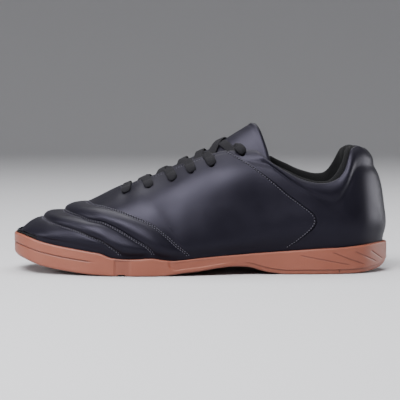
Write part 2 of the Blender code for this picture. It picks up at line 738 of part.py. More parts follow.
def build_collar_pad():
    rings = {side: [] for side in SIDES}
    turns = np.linspace(float(around(PAD_FROM)), 1.0, PAD_LINES)
    for side in SIDES:
        reaches = top_edge(side, turns)
        for index, turn in enumerate(turns):
            is_back = index == PAD_LINES - 1
            front_fade = min(1.0, 0.35 + 0.65 * (index / 6.0))
            back_swell = 1.0 + 0.55 * max(0.0, (float(place_of(turn)) - 0.86) / 0.14)
            probe = np.linspace(0.25, float(reaches[index]), 80)
            line = last_surface(side, np.full_like(probe, turn), probe)
            lengths = np.concatenate([[0], np.cumsum(np.linalg.norm(np.diff(line, axis=0), axis=1))])
            back_face, front_face = [], []
            for down, thick in PAD_SHAPE:
                target = lengths[-1] - min(down * PAD_DEPTH, lengths[-1] * 0.9)
                up = float(np.interp(target, lengths, probe))
                spot = np.array([up])
                where = np.array([turn])
                skin = shell_point(side, where, spot, np.array([-WALL - PAD_CLEARANCE]), is_back)[0]
                depth = WALL + PAD_CLEARANCE + PAD_THICKNESS * thick * front_fade * back_swell
                inner = shell_point(side, where, spot, np.array([-depth]), is_back)[0]
                back_face.append(tuple(skin))
                front_face.append(tuple(inner))
            rings[side].append(back_face + front_face[::-1])
    size = 2 * len(PAD_SHAPE)
    shape = bmesh.new()
    for side in SIDES:
        grid = [[shape.verts.new(point) for point in ring] for ring in rings[side]]
        for line in range(PAD_LINES - 1):
            for ring in range(size):
                after = (ring + 1) % size
                shape.faces.new([grid[line][ring], grid[line + 1][ring],
                                 grid[line + 1][after], grid[line][after]])
        for low in range(len(PAD_SHAPE) - 1):
            high = size - 1 - low
            shape.faces.new([grid[0][low], grid[0][low + 1], grid[0][high - 1], grid[0][high]])
    bmesh.ops.remove_doubles(shape, verts=shape.verts, dist=2e-6)
    return finish_body("collar_pad", shape, BLACK_MESH, 0.95)


# Outsole: cup sole with a lip that holds the upper

SOLE_LINES = 37
# Places where the sole's centre line starts and ends, and where its side changes
TOE_CENTRE = 0.11
HEEL_CENTRE = 0.90
GROOVE_END = 0.222
FLEX_BAND = (0.2785, 0.3190)
WAIST_PANEL = (0.422, 0.560)
HEEL_STEP_FROM = 0.60
# Height of the toe groove, as a share of the sole's side
GROOVE_LEVEL = 0.57
EDGE_ROUND = 0.0012


def centre_place(turn):
    """Where a line round the outline meets the centre line of the sole."""
    return TOE_CENTRE + (HEEL_CENTRE - TOE_CENTRE) * place_of(turn)


def within(place, band, soft=0.004):
    """1 inside a band of places and 0 outside it, with a short slope."""
    return float(np.clip(min(place - band[0], band[1] - place) / soft + 0.5, 0.0, 1.0))


def sole_turns():
    """Lines round the sole, with extra ones at the edges of its bands."""
    turns = set(np.round(np.linspace(0.0, 1.0, SOLE_LINES), 6))
    for edge in (*FLEX_BAND, *WAIST_PANEL):
        for shift in (-0.003, 0.003):
            turns.add(round(float(around(edge + shift)), 6))
    return sorted(turns)


# Cross grooves of the tread. place, half width: shares of the length. from_edge: how far
# in from the sole's edge each one starts; the flex groove runs out through the edge.
TREAD_GROOVES = (
    # place, half width, from_edge
    (0.150, 0.011, 0.25),
    (0.220, 0.011, 0.25),
    (0.296, 0.013, 0.00),
    (0.372, 0.011, 0.25),
    (0.790, 0.011, 0.25),
    (0.870, 0.011, 0.25),
)


def sole_section(side, turn):
    """The closed section of the sole along one line, from bottom middle to footbed middle."""
    place = float(place_of(turn))
    low, lip, bed = float(bottom_height(turn)), float(lip_height(turn)), float(bed_height(turn))
    middle_place = float(centre_place(turn))
    middle = np.array([float(along(middle_place)), float(centre_side(middle_place))])
    middle_turn = float(around(middle_place))
    points = []

    def add(inset, z, share_in=0.0, centre_z=None):
        x, y = inset_outline(side, turn, inset)
        flat = np.array([float(x), float(y)]) * (1 - share_in) + middle * share_in
        if centre_z is not None:
            z = z * (1 - share_in) + centre_z * share_in
        points.append((flat[0], flat[1], z))

    middle_low = float(bottom_height(middle_turn))
    for share_in in (1.0, 0.62, 0.30, 0.08):
        add(LIP_WIDTH, low, share_in, middle_low)
    band = within(place, FLEX_BAND)
    panel = within(place, WAIST_PANEL)
    in_step = STEP_DEPTH if place > HEEL_STEP_FROM else 0.0
    recess = PANEL_RECESS * max(band, panel)
    span = lip - low
    step = min(SIDE_STEP, 0.36 * span)
    groove = GROOVE_DEPTH * float(np.clip((GROOVE_END - place) / 0.012, 0.0, 1.0))
    add(1.9 * EDGE_ROUND, low)
    add(EDGE_ROUND, low + EDGE_ROUND / 2)
    add(EDGE_ROUND / 3 + in_step + recess * (1 - panel), low + step)
    add(recess, low + step + EDGE_ROUND / 2)
    add(recess, low + (GROOVE_LEVEL - 0.05) * span)
    add(groove + recess, low + GROOVE_LEVEL * span)
    add(recess, low + (GROOVE_LEVEL + 0.05) * span)
    add(EDGE_ROUND / 4 + recess * (1 - panel), low + 0.88 * span)
    add(EDGE_ROUND, lip)
    add(LIP_WIDTH, lip)
    add(LIP_WIDTH, bed)
    middle_bed = float(bed_height(middle_turn))
    for share_in in (0.35, 0.70, 1.0):
        add(LIP_WIDTH, bed, share_in, middle_bed)
    return points


# Heel ribs: slanting grooves cut into the side of the heel.
# Each row gives both ends as places along the shoe and heights as shares of the side height.
HEEL_RIBS = (
    # start place, start height, end place, end height
    (0.760, 0.635, 0.892, 0.310),
    (0.846, 0.735, 0.932, 0.310),
    (0.905, 0.760, 0.966, 0.380),
    (0.950, 0.770, 0.985, 0.440),
)
RIB_STEPS = 7
RIB_DEPTH = 0.0008


def rib_cutter(side, row):
    """A thin bent prism that lies across the side of the heel."""
    start_place, start_height, end_place, end_height = row
    shape = bmesh.new()
    rings = []
    for step in range(RIB_STEPS):
        share = step / (RIB_STEPS - 1)
        turn = float(around(start_place)) * (1 - share) + float(around(end_place)) * share
        z = SIDE_HEIGHT * (start_height * (1 - share) + end_height * share)
        ring = []
        for inset, lift in ((RIB_DEPTH, -0.5), (RIB_DEPTH, 0.5), (-0.003, 0.9), (-0.003, -0.9)):
            x, y = inset_outline(side, turn, inset)
            ring.append(shape.verts.new((float(x), float(y), z + lift * RIB_WIDTH)))
        rings.append(ring)
    for here, there in zip(rings[:-1], rings[1:]):
        for corner in range(4):
            after = (corner + 1) % 4
            shape.faces.new([here[corner], there[corner], there[after], here[after]])
    shape.faces.new(rings[0][::-1])
    shape.faces.new(rings[-1])
    bmesh.ops.recalc_face_normals(shape, faces=shape.faces)
    return shape


def tread_cutter(centre, half_width, from_edge):
    """A box that cuts one straight groove across the tread, between two lugs."""
    turn = float(around(centre))
    top = float(bottom_height(turn)) + TREAD_DEPTH
    beyond = 0.0 if from_edge else LIP_WIDTH
    ends = [float(outline(side, turn)[1]) * (1 - from_edge) + side * beyond for side in SIDES]
    size = Matrix.Diagonal((2 * half_width * LENGTH, ends[1] - ends[0], TREAD_CUT, 1.0))
    middle = Matrix.Translation((float(along(centre)), sum(ends) / 2, top - TREAD_CUT / 2))
    shape = bmesh.new()
    bmesh.ops.create_cube(shape, size=1.0, matrix=middle @ size)
    return shape


def add_cutter(name, shapes):
    """One hidden cutting object from several closed shapes."""
    joined = bmesh.new()
    for shape in shapes:
        part = bpy.data.meshes.new(name)
        shape.to_mesh(part)
        joined.from_mesh(part)
        shape.free()
        bpy.data.meshes.remove(part)
    bmesh.ops.triangulate(joined, faces=joined.faces)
    mesh = bpy.data.meshes.new(name)
    joined.to_mesh(mesh)
    joined.free()
    cutter = bpy.data.objects.new(name, mesh)
    bpy.context.collection.objects.link(cutter)
    cutter.hide_render = True
    cutter.display_type = "WIRE"
    return cutter


def cut(body, cutter, kind="DIFFERENCE"):
    modifier = body.modifiers.new(cutter.name, "BOOLEAN")
    modifier.operation = kind
    modifier.solver = "EXACT"
    modifier.object = cutter


def build_outsole():
    turns = sole_turns()
    sections = {side: [sole_section(side, turn) for turn in turns] for side in SIDES}
    for index in (0, len(turns) - 1):
        sections[MEDIAL][index] = list(sections[LATERAL][index])
    size = len(sections[LATERAL][0])
    sole = solid_from("outsole", lambda side, line: sections[side][line], size, False, len(turns),
                      GUM_RUBBER, 0.6)
    ribs = [rib_cutter(side, row) for side in SIDES for row in HEEL_RIBS]
    cut(sole, add_cutter("rib_cutter", ribs))
    cut(sole, add_cutter("tread_cutter", [tread_cutter(*row) for row in TREAD_GROOVES]))
    return sole


# Insole

INSOLE_LINES = 34


def build_insole():
    turns = np.linspace(0.0, 1.0, INSOLE_LINES)
    inset = LIP_WIDTH + GAP + WALL + 2 * GAP

    def section(side, line):
        turn = float(turns[line])
        middle_place = float(centre_place(turn))
        middle = np.array([float(along(middle_place)), float(centre_side(middle_place))])
        middle_bed = float(bed_height(float(around(middle_place))))
        bed = float(bed_height(turn))
        rows = []
        for share_in, lift in ((1.0, 0.0), (0.5, 0.0), (0.0, 0.0), (0.0, 1.0), (0.5, 1.0), (1.0, 1.0)):
            x, y = inset_outline(side if 0 < line < INSOLE_LINES - 1 else LATERAL, turn, inset)
            flat = np.array([float(x), float(y)]) * (1 - share_in) + middle * share_in
            z = bed * (1 - share_in) + middle_bed * share_in + 2 * GAP + lift * INSOLE_THICKNESS
            rows.append((flat[0], flat[1], z))
        return rows

    return solid_from("insole", section, 6, False, INSOLE_LINES, BLACK_MESH, 0.9)


# Eyelets and lace

def eyelet_centre(side, place):
    """The point on the upper's outside where an eyelet is punched, with its direction."""
    turn = float(around(place))
    edge = float(top_edge(side, np.array([float(around(max(place, THROAT_ROUND)))]))[0])
    ups = np.linspace(edge, 0.4, 200)
    points = last_surface(side, np.full_like(ups, turn), ups)
    lengths = np.concatenate([[0], np.cumsum(np.linalg.norm(np.diff(points, axis=0), axis=1))])
    up = np.array([float(np.interp(EYELET_INSET, lengths, ups))])
    return last_surface(side, np.array([turn]), up)[0], outward(side, np.array([turn]), up)[0]


def eyelet_cutter(side, place):
    centre, normal = eyelet_centre(side, place)
    shape = bmesh.new()
    bmesh.ops.create_cone(shape, cap_ends=True, segments=10, radius1=EYELET_BORE / 2,
                          radius2=EYELET_BORE / 2, depth=6 * WALL)
    turn = Vector((0, 0, 1)).rotation_difference(Vector(normal))
    bmesh.ops.rotate(shape, verts=shape.verts, cent=(0, 0, 0), matrix=turn.to_matrix())
    bmesh.ops.translate(shape, verts=shape.verts, vec=tuple(centre))
    return shape


LACE_FOLD = 0.0032


def lace_map():
    """Lowest heights at which a lace can pass over the tongue and the lace panels."""
    rows = []
    for x, tongue_row in zip(MAP_X, TONGUE_TOP):
        place = x / LENGTH + 0.5
        half = float(throat_half(np.array(min(max(place, 0.0), THROAT_BACK))))
        flat = np.abs(MAP_Y - float(centre_side(place)))
        panel = skin_row(x, PANEL_STEP + LACE_CLEARANCE)
        on_panel = (flat > half - LACE_FOLD) | (place < THROAT_ROUND)
        rows.append(np.maximum(tongue_row + 2 * GAP, np.where(on_panel, panel, 0.0)))
    heights = np.array(rows)
    return np.maximum(heights, level_out(heights, 3, 4)) + GAP


LACE_UNDER = lace_map()


def flat_strip(start, end):
    """A flat, straight piece of lace from one spot to another, drawn from above."""
    direction = unit(end - start)
    sideways = np.array([-direction[1], direction[0]]) * LACE_WIDTH / 2
    shape = bmesh.new()
    base = [shape.verts.new((*spot, 0.0)) for spot in
            (start - sideways, start + sideways, end + sideways, end - sideways)]
    bottom = shape.faces.new(base)
    top = bmesh.ops.extrude_face_region(shape, geom=[bottom], use_keep_orig=True)["geom"]
    for item in top:
        if isinstance(item, bmesh.types.BMVert):
            item.co.z = LACE_THICKNESS
    bmesh.ops.recalc_face_normals(shape, faces=shape.faces)
    mesh = bpy.data.meshes.new("flat_strip")
    shape.to_mesh(mesh)
    shape.free()
    strip = bpy.data.objects.new("flat_strip", mesh)
    bpy.context.collection.objects.link(strip)
    return strip


def bend_over(name, strips):
    """Joins flat strips and folds them over the tongue and the lace panels."""
    pieces = [flat_strip(*ends) for ends in strips]
    for other in pieces[1:]:
        cut(pieces[0], other, "UNION")
    flat = pieces[0].evaluated_get(bpy.context.evaluated_depsgraph_get())
    shape = bmesh.new()
    shape.from_mesh(flat.to_mesh())
    for piece in pieces:
        bpy.data.objects.remove(piece, do_unlink=True)
    bmesh.ops.dissolve_limit(shape, angle_limit=0.01, verts=shape.verts, edges=shape.edges)
    for fold in range(-8, 9):
        everything = shape.verts[:] + shape.edges[:] + shape.faces[:]
        bmesh.ops.bisect_plane(shape, geom=everything, plane_co=(0, fold * LACE_FOLD, 0), plane_no=(0, 1, 0))
    for vert in shape.verts:
        x, y = vert.co.x, vert.co.y
        lift = LACE_THICKNESS if vert.co.z > LACE_THICKNESS / 2 else 0.0
        normal = map_normal(LACE_UNDER, x, y)
        height = float(read_map(LACE_UNDER, x, y))
        vert.co = (x + lift * normal[0], y + lift * normal[1], height + lift * normal[2])
    return finish_body(name, shape, BLACK_WEBBING, 0.85)


def build_laces():
    holes = {side: [eyelet_centre(side, place)[0][:2] for place in EYELETS] for side in SIDES}
    bend_over("lace_bar", [(holes[LATERAL][0], holes[MEDIAL][0])])
    for index in range(1, len(EYELETS)):
        before = EYELETS[index - 1]
        inner = float(throat_half(np.array(max(before, THROAT_ROUND)))) - THROAT_TUCK
        start_x = float(along(before)) + (BAR_STEP if index == 1 else LACE_STEP)
        strips = []
        for side in SIDES:
            start = np.array([start_x, float(centre_side(before)) - side * inner])
            strips.append((start, holes[side][index]))
        bend_over("lace_cross_%d" % index, strips)


build_outsole()
shoe_upper = build_upper()
cut(shoe_upper, add_cutter("eyelet_cutter", [eyelet_cutter(side, place) for side in SIDES for place in EYELETS]))
build_insole()
build_tongue()
build_collar_pad()
build_laces()
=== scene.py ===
"""A black indoor soccer shoe with a quilted toe on a gum rubber sole, seen from its outer side.

The toe points to -X, the heel to +X, and the outer (lateral) side faces -Y.
"""
import math

import bmesh
import bpy
import numpy as np
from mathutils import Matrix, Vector


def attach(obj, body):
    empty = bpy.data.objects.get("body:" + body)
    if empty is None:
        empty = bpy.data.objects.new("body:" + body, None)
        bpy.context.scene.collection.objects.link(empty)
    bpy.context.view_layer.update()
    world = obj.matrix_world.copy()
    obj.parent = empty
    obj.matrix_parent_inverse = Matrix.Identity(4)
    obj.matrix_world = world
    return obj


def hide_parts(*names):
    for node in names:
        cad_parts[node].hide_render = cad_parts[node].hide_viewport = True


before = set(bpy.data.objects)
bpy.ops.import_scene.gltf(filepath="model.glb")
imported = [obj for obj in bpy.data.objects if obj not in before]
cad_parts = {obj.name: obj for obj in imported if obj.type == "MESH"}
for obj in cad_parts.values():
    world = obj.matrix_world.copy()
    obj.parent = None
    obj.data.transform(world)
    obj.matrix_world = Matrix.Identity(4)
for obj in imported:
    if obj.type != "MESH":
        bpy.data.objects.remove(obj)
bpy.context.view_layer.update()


# Outsole: a cup of moulded gum rubber whose lip holds the upper. Its side has a groove
# round the toe, a flex band at the ball, a sunk panel at the waist, slanting ribs round the
# heel and a stepped lower edge. It is one piece, made from the section's own function.
LENGTH = 0.274
BALL_WIDTH = 0.098
SIDE_HEIGHT = 0.0215
TOE_SPRING = 0.0120
ARCH_RISE = 0.0063
HEEL_BEVEL = 0.0090
LIP_WIDTH = 0.0026
FOOTBED_HEEL = 0.0135
GAP = 0.0003
LATERAL = -1.0
MEDIAL = 1.0
SIDES = (LATERAL, MEDIAL)
MM = 0.001

# Outline of the sole's lip: signed shares of the ball width
OUTLINE = np.array((
    # place, lateral, medial
    (0.000, 0.082, 0.082),
    (0.035, -0.229, 0.361),
    (0.078, -0.337, 0.439),
    (0.143, -0.403, 0.474),
    (0.208, -0.465, 0.493),
    (0.274, -0.498, 0.495),
    (0.354, -0.509, 0.469),
    (0.427, -0.493, 0.413),
    (0.500, -0.460, 0.349),
    (0.573, -0.416, 0.309),
    (0.646, -0.380, 0.299),
    (0.726, -0.361, 0.315),
    (0.810, -0.357, 0.338),
    (0.880, -0.333, 0.326),
    (0.931, -0.284, 0.282),
    (0.971, -0.186, 0.186),
    (1.000, 0.000, 0.000),
))
# Centre line of the last, which leans to the medial side at the toe
CENTRE_LINE = np.array((
    # place, side as a share of the ball width
    (0.00, 0.075),
    (0.07, 0.068),
    (0.14, 0.050),
    (0.28, 0.026),
    (0.39, 0.015),
    (0.50, 0.005),
    (0.65, 0.000),
    (1.00, 0.000),
))
# Heights along the sole, as shares of the side height, toe spring, arch rise, heel bevel
# and footbed height
SOLE_HEIGHTS = np.array((
    # place, lip, spring, arch, bevel, bed
    (0.000, 1.288, 1.00, 0.00, 0.00, 1.15),
    (0.035, 1.256, 0.80, 0.00, 0.00, 1.00),
    (0.078, 1.100, 0.54, 0.00, 0.00, 0.84),
    (0.143, 0.935, 0.27, 0.00, 0.00, 0.66),
    (0.208, 0.810, 0.11, 0.00, 0.00, 0.55),
    (0.247, 0.720, 0.05, 0.00, 0.00, 0.51),
    (0.263, 0.633, 0.03, 0.00, 0.00, 0.50),
    (0.290, 0.577, 0.00, 0.00, 0.00, 0.48),
    (0.334, 0.567, 0.00, 0.00, 0.00, 0.48),
    (0.380, 0.590, 0.00, 0.00, 0.00, 0.50),
    (0.406, 0.540, 0.00, 0.05, 0.00, 0.50),
    (0.427, 0.512, 0.00, 0.15, 0.00, 0.50),
    (0.460, 0.535, 0.00, 0.35, 0.00, 0.53),
    (0.505, 0.590, 0.00, 0.55, 0.00, 0.60),
    (0.550, 0.633, 0.00, 0.85, 0.00, 0.68),
    (0.595, 0.672, 0.00, 1.00, 0.00, 0.75),
    (0.632, 0.705, 0.00, 0.86, 0.00, 0.80),
    (0.664, 0.730, 0.00, 0.44, 0.00, 0.83),
    (0.695, 0.757, 0.00, 0.16, 0.00, 0.87),
    (0.725, 0.780, 0.00, 0.00, 0.00, 0.90),
    (0.807, 0.851, 0.00, 0.00, 0.00, 0.97),
    (0.880, 0.895, 0.00, 0.00, 0.00, 1.00),
    (0.920, 0.940, 0.00, 0.00, 0.06, 1.02),
    (0.970, 1.005, 0.00, 0.00, 0.26, 1.04),
    (1.000, 1.000, 0.00, 0.00, 0.80, 1.05),
))
TOE_CENTRE = 0.11
HEEL_CENTRE = 0.90
# Ribs round the heel: places along the shoe and heights as shares of the side height
HEEL_RIBS = (
    # start place, start height, end place, end height
    (0.760, 0.635, 0.892, 0.310),
    (0.846, 0.735, 0.932, 0.310),
    (0.905, 0.760, 0.966, 0.380),
    (0.950, 0.770, 0.985, 0.440),
)
# What the side's mould leaves: depths in mm, and the places where each form fades in or out
TOE_GROOVE_SHARE = 0.57
TOE_GROOVE_DEPTH = 0.75
TOE_GROOVE_END = (0.200, 0.222)
LIP_BAND_DEPTH = 0.16
LIP_BAND_END = (0.200, 0.235)
FLEX_BAND_DEPTH = 0.55
FLEX_BAND_FRONT = (0.2755, 0.2815)
FLEX_BAND_BACK = (0.3150, 0.3230)
WAIST_PANEL_DEPTH = 0.75
WAIST_PANEL_FRONT = 0.418
WAIST_PANEL_BACK = (0.52, 0.60)
HEEL_STEP_DEPTH = 0.70
HEEL_STEP_FRONT = (0.600, 0.645)
HEEL_STEP_TOP = (3.0, 3.5)
RIB_DEPTH = 0.36
RIB_UNDERCUT = 0.16
SLIT_DEPTH = 0.6
SLIT_PLACE = 0.8655
EDGE_ROUND = 0.8
LIP_ROUND = 0.0004
TREAD_DEPTH = 0.0014
# Cross grooves between the main lugs of the tread
TREAD_GROOVES = (
    # place, half width, how far in from the edge each one starts
    (0.150, 0.011, 0.25),
    (0.220, 0.011, 0.25),
    (0.296, 0.013, 0.00),
    (0.372, 0.011, 0.25),
    (0.790, 0.011, 0.25),
    (0.870, 0.011, 0.25),
)


def cubic(f, span, start, end, start_slope, end_slope):
    """A curve from start to end that leaves and arrives with the slopes given."""
    return ((2 * f**3 - 3 * f**2 + 1) * start + (f**3 - 2 * f**2 + f) * span * start_slope
            + (3 * f**2 - 2 * f**3) * end + (f**3 - f**2) * span * end_slope)


def slopes_through(values, steps):
    """The slope of a smooth curve at each of the values, which lie the given steps apart."""
    slopes = np.diff(values, axis=0) / steps
    inner = (steps[1:] * slopes[:-1] + steps[:-1] * slopes[1:]) / (steps[:-1] + steps[1:])
    return np.concatenate([slopes[:1], inner, slopes[-1:]])


def smooth_line(knots, values, at):
    """Runs a smooth curve through a table's rows and reads it at the places given."""
    knots, values = np.asarray(knots, float), np.asarray(values, float)
    at = np.clip(np.asarray(at, float), knots[0], knots[-1])
    steps = np.diff(knots)
    slopes = slopes_through(values, steps)
    row = np.clip(np.searchsorted(knots, at, side="right") - 1, 0, len(steps) - 1)
    f = (at - knots[row]) / steps[row]
    return cubic(f, steps[row], values[row], values[row + 1], slopes[row], slopes[row + 1])


def ease(value, low, high):
    """0 below low, 1 above high and a soft slope between them."""
    f = np.clip((np.asarray(value, float) - low) / (high - low), 0.0, 1.0)
    return f * f * (3 - 2 * f)


def around(place):
    """Turns a share of the length into a share of the way round the outline."""
    return np.arccos(1 - 2 * np.clip(place, 0.0, 1.0)) / math.pi


def place_of(turn):
    return (1 - np.cos(math.pi * np.asarray(turn, float))) / 2


def along(place):
    """The X of a share of the length."""
    return LENGTH * (np.asarray(place, float) - 0.5)


def column(table, index, turn):
    """Reads one column of a table whose first column is a place, round the outline."""
    return smooth_line(around(table[:, 0]), table[:, index], turn)


def outline(side, turn):
    """The lip's outline on one side, as X and Y, with its outward direction."""
    turns = around(OUTLINE[:, 0])
    loop = np.concatenate([turns[-4:-1] - 2, -turns[::-1][:-1], turns, 2 - turns[::-1][1:4]])
    lateral, medial = OUTLINE[:, 1], OUTLINE[:, 2]
    ys = np.concatenate([medial[-4:-1], lateral[::-1][:-1], medial, lateral[::-1][1:4]])
    spot = side * np.asarray(turn, float)
    nudge = 1e-4

    def y_at(where):
        return BALL_WIDTH * smooth_line(loop, ys, where)

    x = along(place_of(spot))
    dx = along(place_of(spot + nudge)) - along(place_of(spot - nudge))
    dy = y_at(spot + nudge) - y_at(spot - nudge)
    size = np.hypot(dx, dy)
    return x, y_at(spot), -dy / size, dx / size


def inset_outline(side, turn, inset):
    x, y, out_x, out_y = outline(side, turn)
    return x - inset * out_x, y - inset * out_y


def centre_side(place):
    """The Y of the centre line at a place along the shoe."""
    return BALL_WIDTH * smooth_line(CENTRE_LINE[:, 0], CENTRE_LINE[:, 1], place)


def lip_height(turn):
    return SIDE_HEIGHT * column(SOLE_HEIGHTS, 1, turn)


def bottom_height(turn):
    spring, arch, bevel = (column(SOLE_HEIGHTS, index, turn) for index in (2, 3, 4))
    return np.maximum(TOE_SPRING * spring + ARCH_RISE * arch + HEEL_BEVEL * bevel, 0.0)


def bed_height(turn):
    return FOOTBED_HEEL * column(SOLE_HEIGHTS, 5, turn)


def centre_place(turn):
    """Where a line round the outline meets the centre line of the sole."""
    return TOE_CENTRE + (HEEL_CENTRE - TOE_CENTRE) * place_of(turn)


def linear(colour):
    """Turns an sRGB hex colour into the linear values that a shader takes."""
    parts = [int(colour[i:i + 2], 16) / 255 for i in (0, 2, 4)]
    return (*[v / 12.92 if v <= 0.04045 else ((v + 0.055) / 1.055) ** 2.4 for v in parts], 1.0)


def feed(tree, node, inputs):
    """Fills a node's inputs with values, or with sockets of other nodes to link from."""
    for key, value in inputs.items():
        if isinstance(value, bpy.types.NodeSocket):
            tree.links.new(value, node.inputs[key])
        else:
            node.inputs[key].default_value = value


def add_node(tree, kind, inputs, **settings):
    """Adds a shader node with its settings and inputs."""
    node = tree.nodes.new("ShaderNode" + kind)
    for key, value in settings.items():
        setattr(node, key, value)
    feed(tree, node, inputs)
    return node


def new_material(name):
    """A material with its shader, its node tree and a position in millimetres."""
    material = bpy.data.materials.new(name)
    material.use_nodes = True
    tree = material.node_tree
    shader = tree.nodes["Principled BSDF"]
    spot = add_node(tree, "TexCoord", {})
    spot = add_node(tree, "VectorMath", {0: spot.outputs["Object"], 1: (1000, 1000, 1000)},
                    operation="MULTIPLY")
    return material, tree, shader, spot.outputs[0]


def new_piece(name, points, faces, materials, slots=None, marks=None):
    """Makes a mesh object from arrays, merges what its halves share and rides it on the shoe."""
    mesh = bpy.data.meshes.new(name)
    mesh.from_pydata(np.asarray(points).tolist(), [], faces)
    if slots is not None:
        mesh.polygons.foreach_set("material_index", slots)
    for mark, values in (marks or {}).items():
        layer = mesh.attributes.new(mark, "FLOAT", "POINT")
        layer.data.foreach_set("value", np.asarray(values, np.float32))
    shape = bmesh.new()
    shape.from_mesh(mesh)
    bmesh.ops.remove_doubles(shape, verts=shape.verts, dist=2e-6)
    bmesh.ops.dissolve_degenerate(shape, edges=shape.edges, dist=1e-6)
    bmesh.ops.recalc_face_normals(shape, faces=shape.faces)
    shape.to_mesh(mesh)
    shape.free()
    mesh.shade_smooth()
    for material in materials:
        mesh.materials.append(material)
    piece = bpy.data.objects.new(name, mesh)
    bpy.context.scene.collection.objects.link(piece)
    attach(piece, "root")
    return piece


def grid_faces(lines, rings, offset=0, closed=False):
    """The quads between neighbouring lines of a grid whose points are stored line by line."""
    count = rings if closed else rings - 1
    return [(offset + line * rings + ring, offset + (line + 1) * rings + ring,
             offset + (line + 1) * rings + (ring + 1) % rings, offset + line * rings + (ring + 1) % rings)
            for line in range(lines - 1) for ring in range(count)]


def groove_depth(x, share_in):
    """Depth of the tread's cross grooves at an X and at a share of the way in."""
    place = x / LENGTH + 0.5
    depth = np.zeros_like(place)
    for centre, half_width, start in TREAD_GROOVES:
        near = np.clip(1 - np.abs(place - centre) / half_width, 0, 1)
        depth = np.maximum(depth, TREAD_DEPTH * ease(near, 0.1, 0.5) * (share_in >= start))
    return depth


def side_relief(place, run, up_mm, height_mm, rib_lines):
    """How far the sole's side lies in from its outline, in mm, and how much shade is painted into its
    grooves.
    """
    share = up_mm / height_mm
    toe_round = 1.5 + 2.2 * (1 - ease(place, 0.0, 0.10)) + 1.0 * ease(place, 0.93, 1.0)
    low = np.clip(1 - up_mm / toe_round, 0, 1)
    depth = toe_round * (1 - np.sqrt(1 - low**2)) * 0.8
    top = np.clip(1 - (height_mm - up_mm) / 1.1, 0, 1)
    depth = depth + 1.1 * (1 - np.sqrt(1 - top**2))
    # Painted shade: this value darkens the rubber's colour in each groove, rib line, step edge and slit
    # below
    groove_shade = np.zeros_like(depth)
    # The groove round the toe, with a lip band that stands a little proud above it
    off_groove = (share - TOE_GROOVE_SHARE) * height_mm
    groove = np.exp(-(off_groove / 0.38)**2) * (1 - ease(place, *TOE_GROOVE_END))
    at_toe = 1 - ease(place, *LIP_BAND_END)
    above = ease(share, TOE_GROOVE_SHARE, 0.60) * at_toe
    depth = depth + TOE_GROOVE_DEPTH * groove + LIP_BAND_DEPTH * (1 - above) * at_toe
    groove_shade = groove_shade + groove
    # The flex band at the ball
    band = ease(place, *FLEX_BAND_FRONT) * (1 - ease(place, *FLEX_BAND_BACK))
    depth = depth + FLEX_BAND_DEPTH * band * (1 - ease(share, 0.86, 0.96))
    groove_shade = groove_shade + 0.25 * band
    # The sunk panel at the waist, whose lower edge turns up at its front end
    front = WAIST_PANEL_FRONT + 0.022 * np.exp(-np.clip(up_mm - 2.8, 0, 9) / 1.8)
    panel = ease(place, front - 0.004, front + 0.004) * (1 - ease(place, *WAIST_PANEL_BACK))
    panel = panel * ease(up_mm, 2.5, 3.3) * (1 - 0.6 * ease(share, 0.80, 1.0))
    depth = depth + WAIST_PANEL_DEPTH * panel
    # The stepped lower edge of the heel, which fades in behind the arch
    heel = ease(place, *HEEL_STEP_FRONT)
    depth = depth + HEEL_STEP_DEPTH * heel * (1 - ease(up_mm, *HEEL_STEP_TOP))
    groove_shade = groove_shade + 0.35 * heel * np.exp(-((up_mm - 3.1) / 0.30)**2)
    # Ribs: each one steps in under its line and fades out again below
    for (run_a, z_a), (run_b, z_b) in rib_lines:
        way = np.array([run_b - run_a, z_b - z_a])
        size = np.hypot(*way)
        way = way / size
        off_run, off_z = run - run_a, up_mm - z_a
        lengthwise = np.clip(off_run * way[0] + off_z * way[1], 0, size)
        across = (off_run - lengthwise * way[0]) * way[1] - (off_z - lengthwise * way[1]) * way[0]
        beyond = np.hypot(off_run - lengthwise * way[0], off_z - lengthwise * way[1])
        ends = np.exp(-np.clip(beyond - np.abs(across), 0, 9) / 0.5)
        fade = ease(lengthwise, 0.0, 2.5) * (1 - ease(lengthwise, size - 2.0, size + 0.01) * 0.7)
        line = np.exp(-(across / 0.34)**2) * fade * ends
        under = ease(across, -0.1, 0.35) * np.exp(-np.clip(across, 0, 9) / 2.6) * fade * ends
        depth = depth + RIB_DEPTH * line + RIB_UNDERCUT * under
        groove_shade = groove_shade + 0.7 * line
    # The short slit in the lower edge
    slit = np.exp(-((place - SLIT_PLACE) * LENGTH / MM / 0.30)**4)
    slit = slit * ease(up_mm, 0.6, 1.0) * (1 - ease(up_mm, 2.9, 3.2))
    depth = depth + SLIT_DEPTH * slit
    return depth, np.clip(groove_shade + slit, 0, 1)


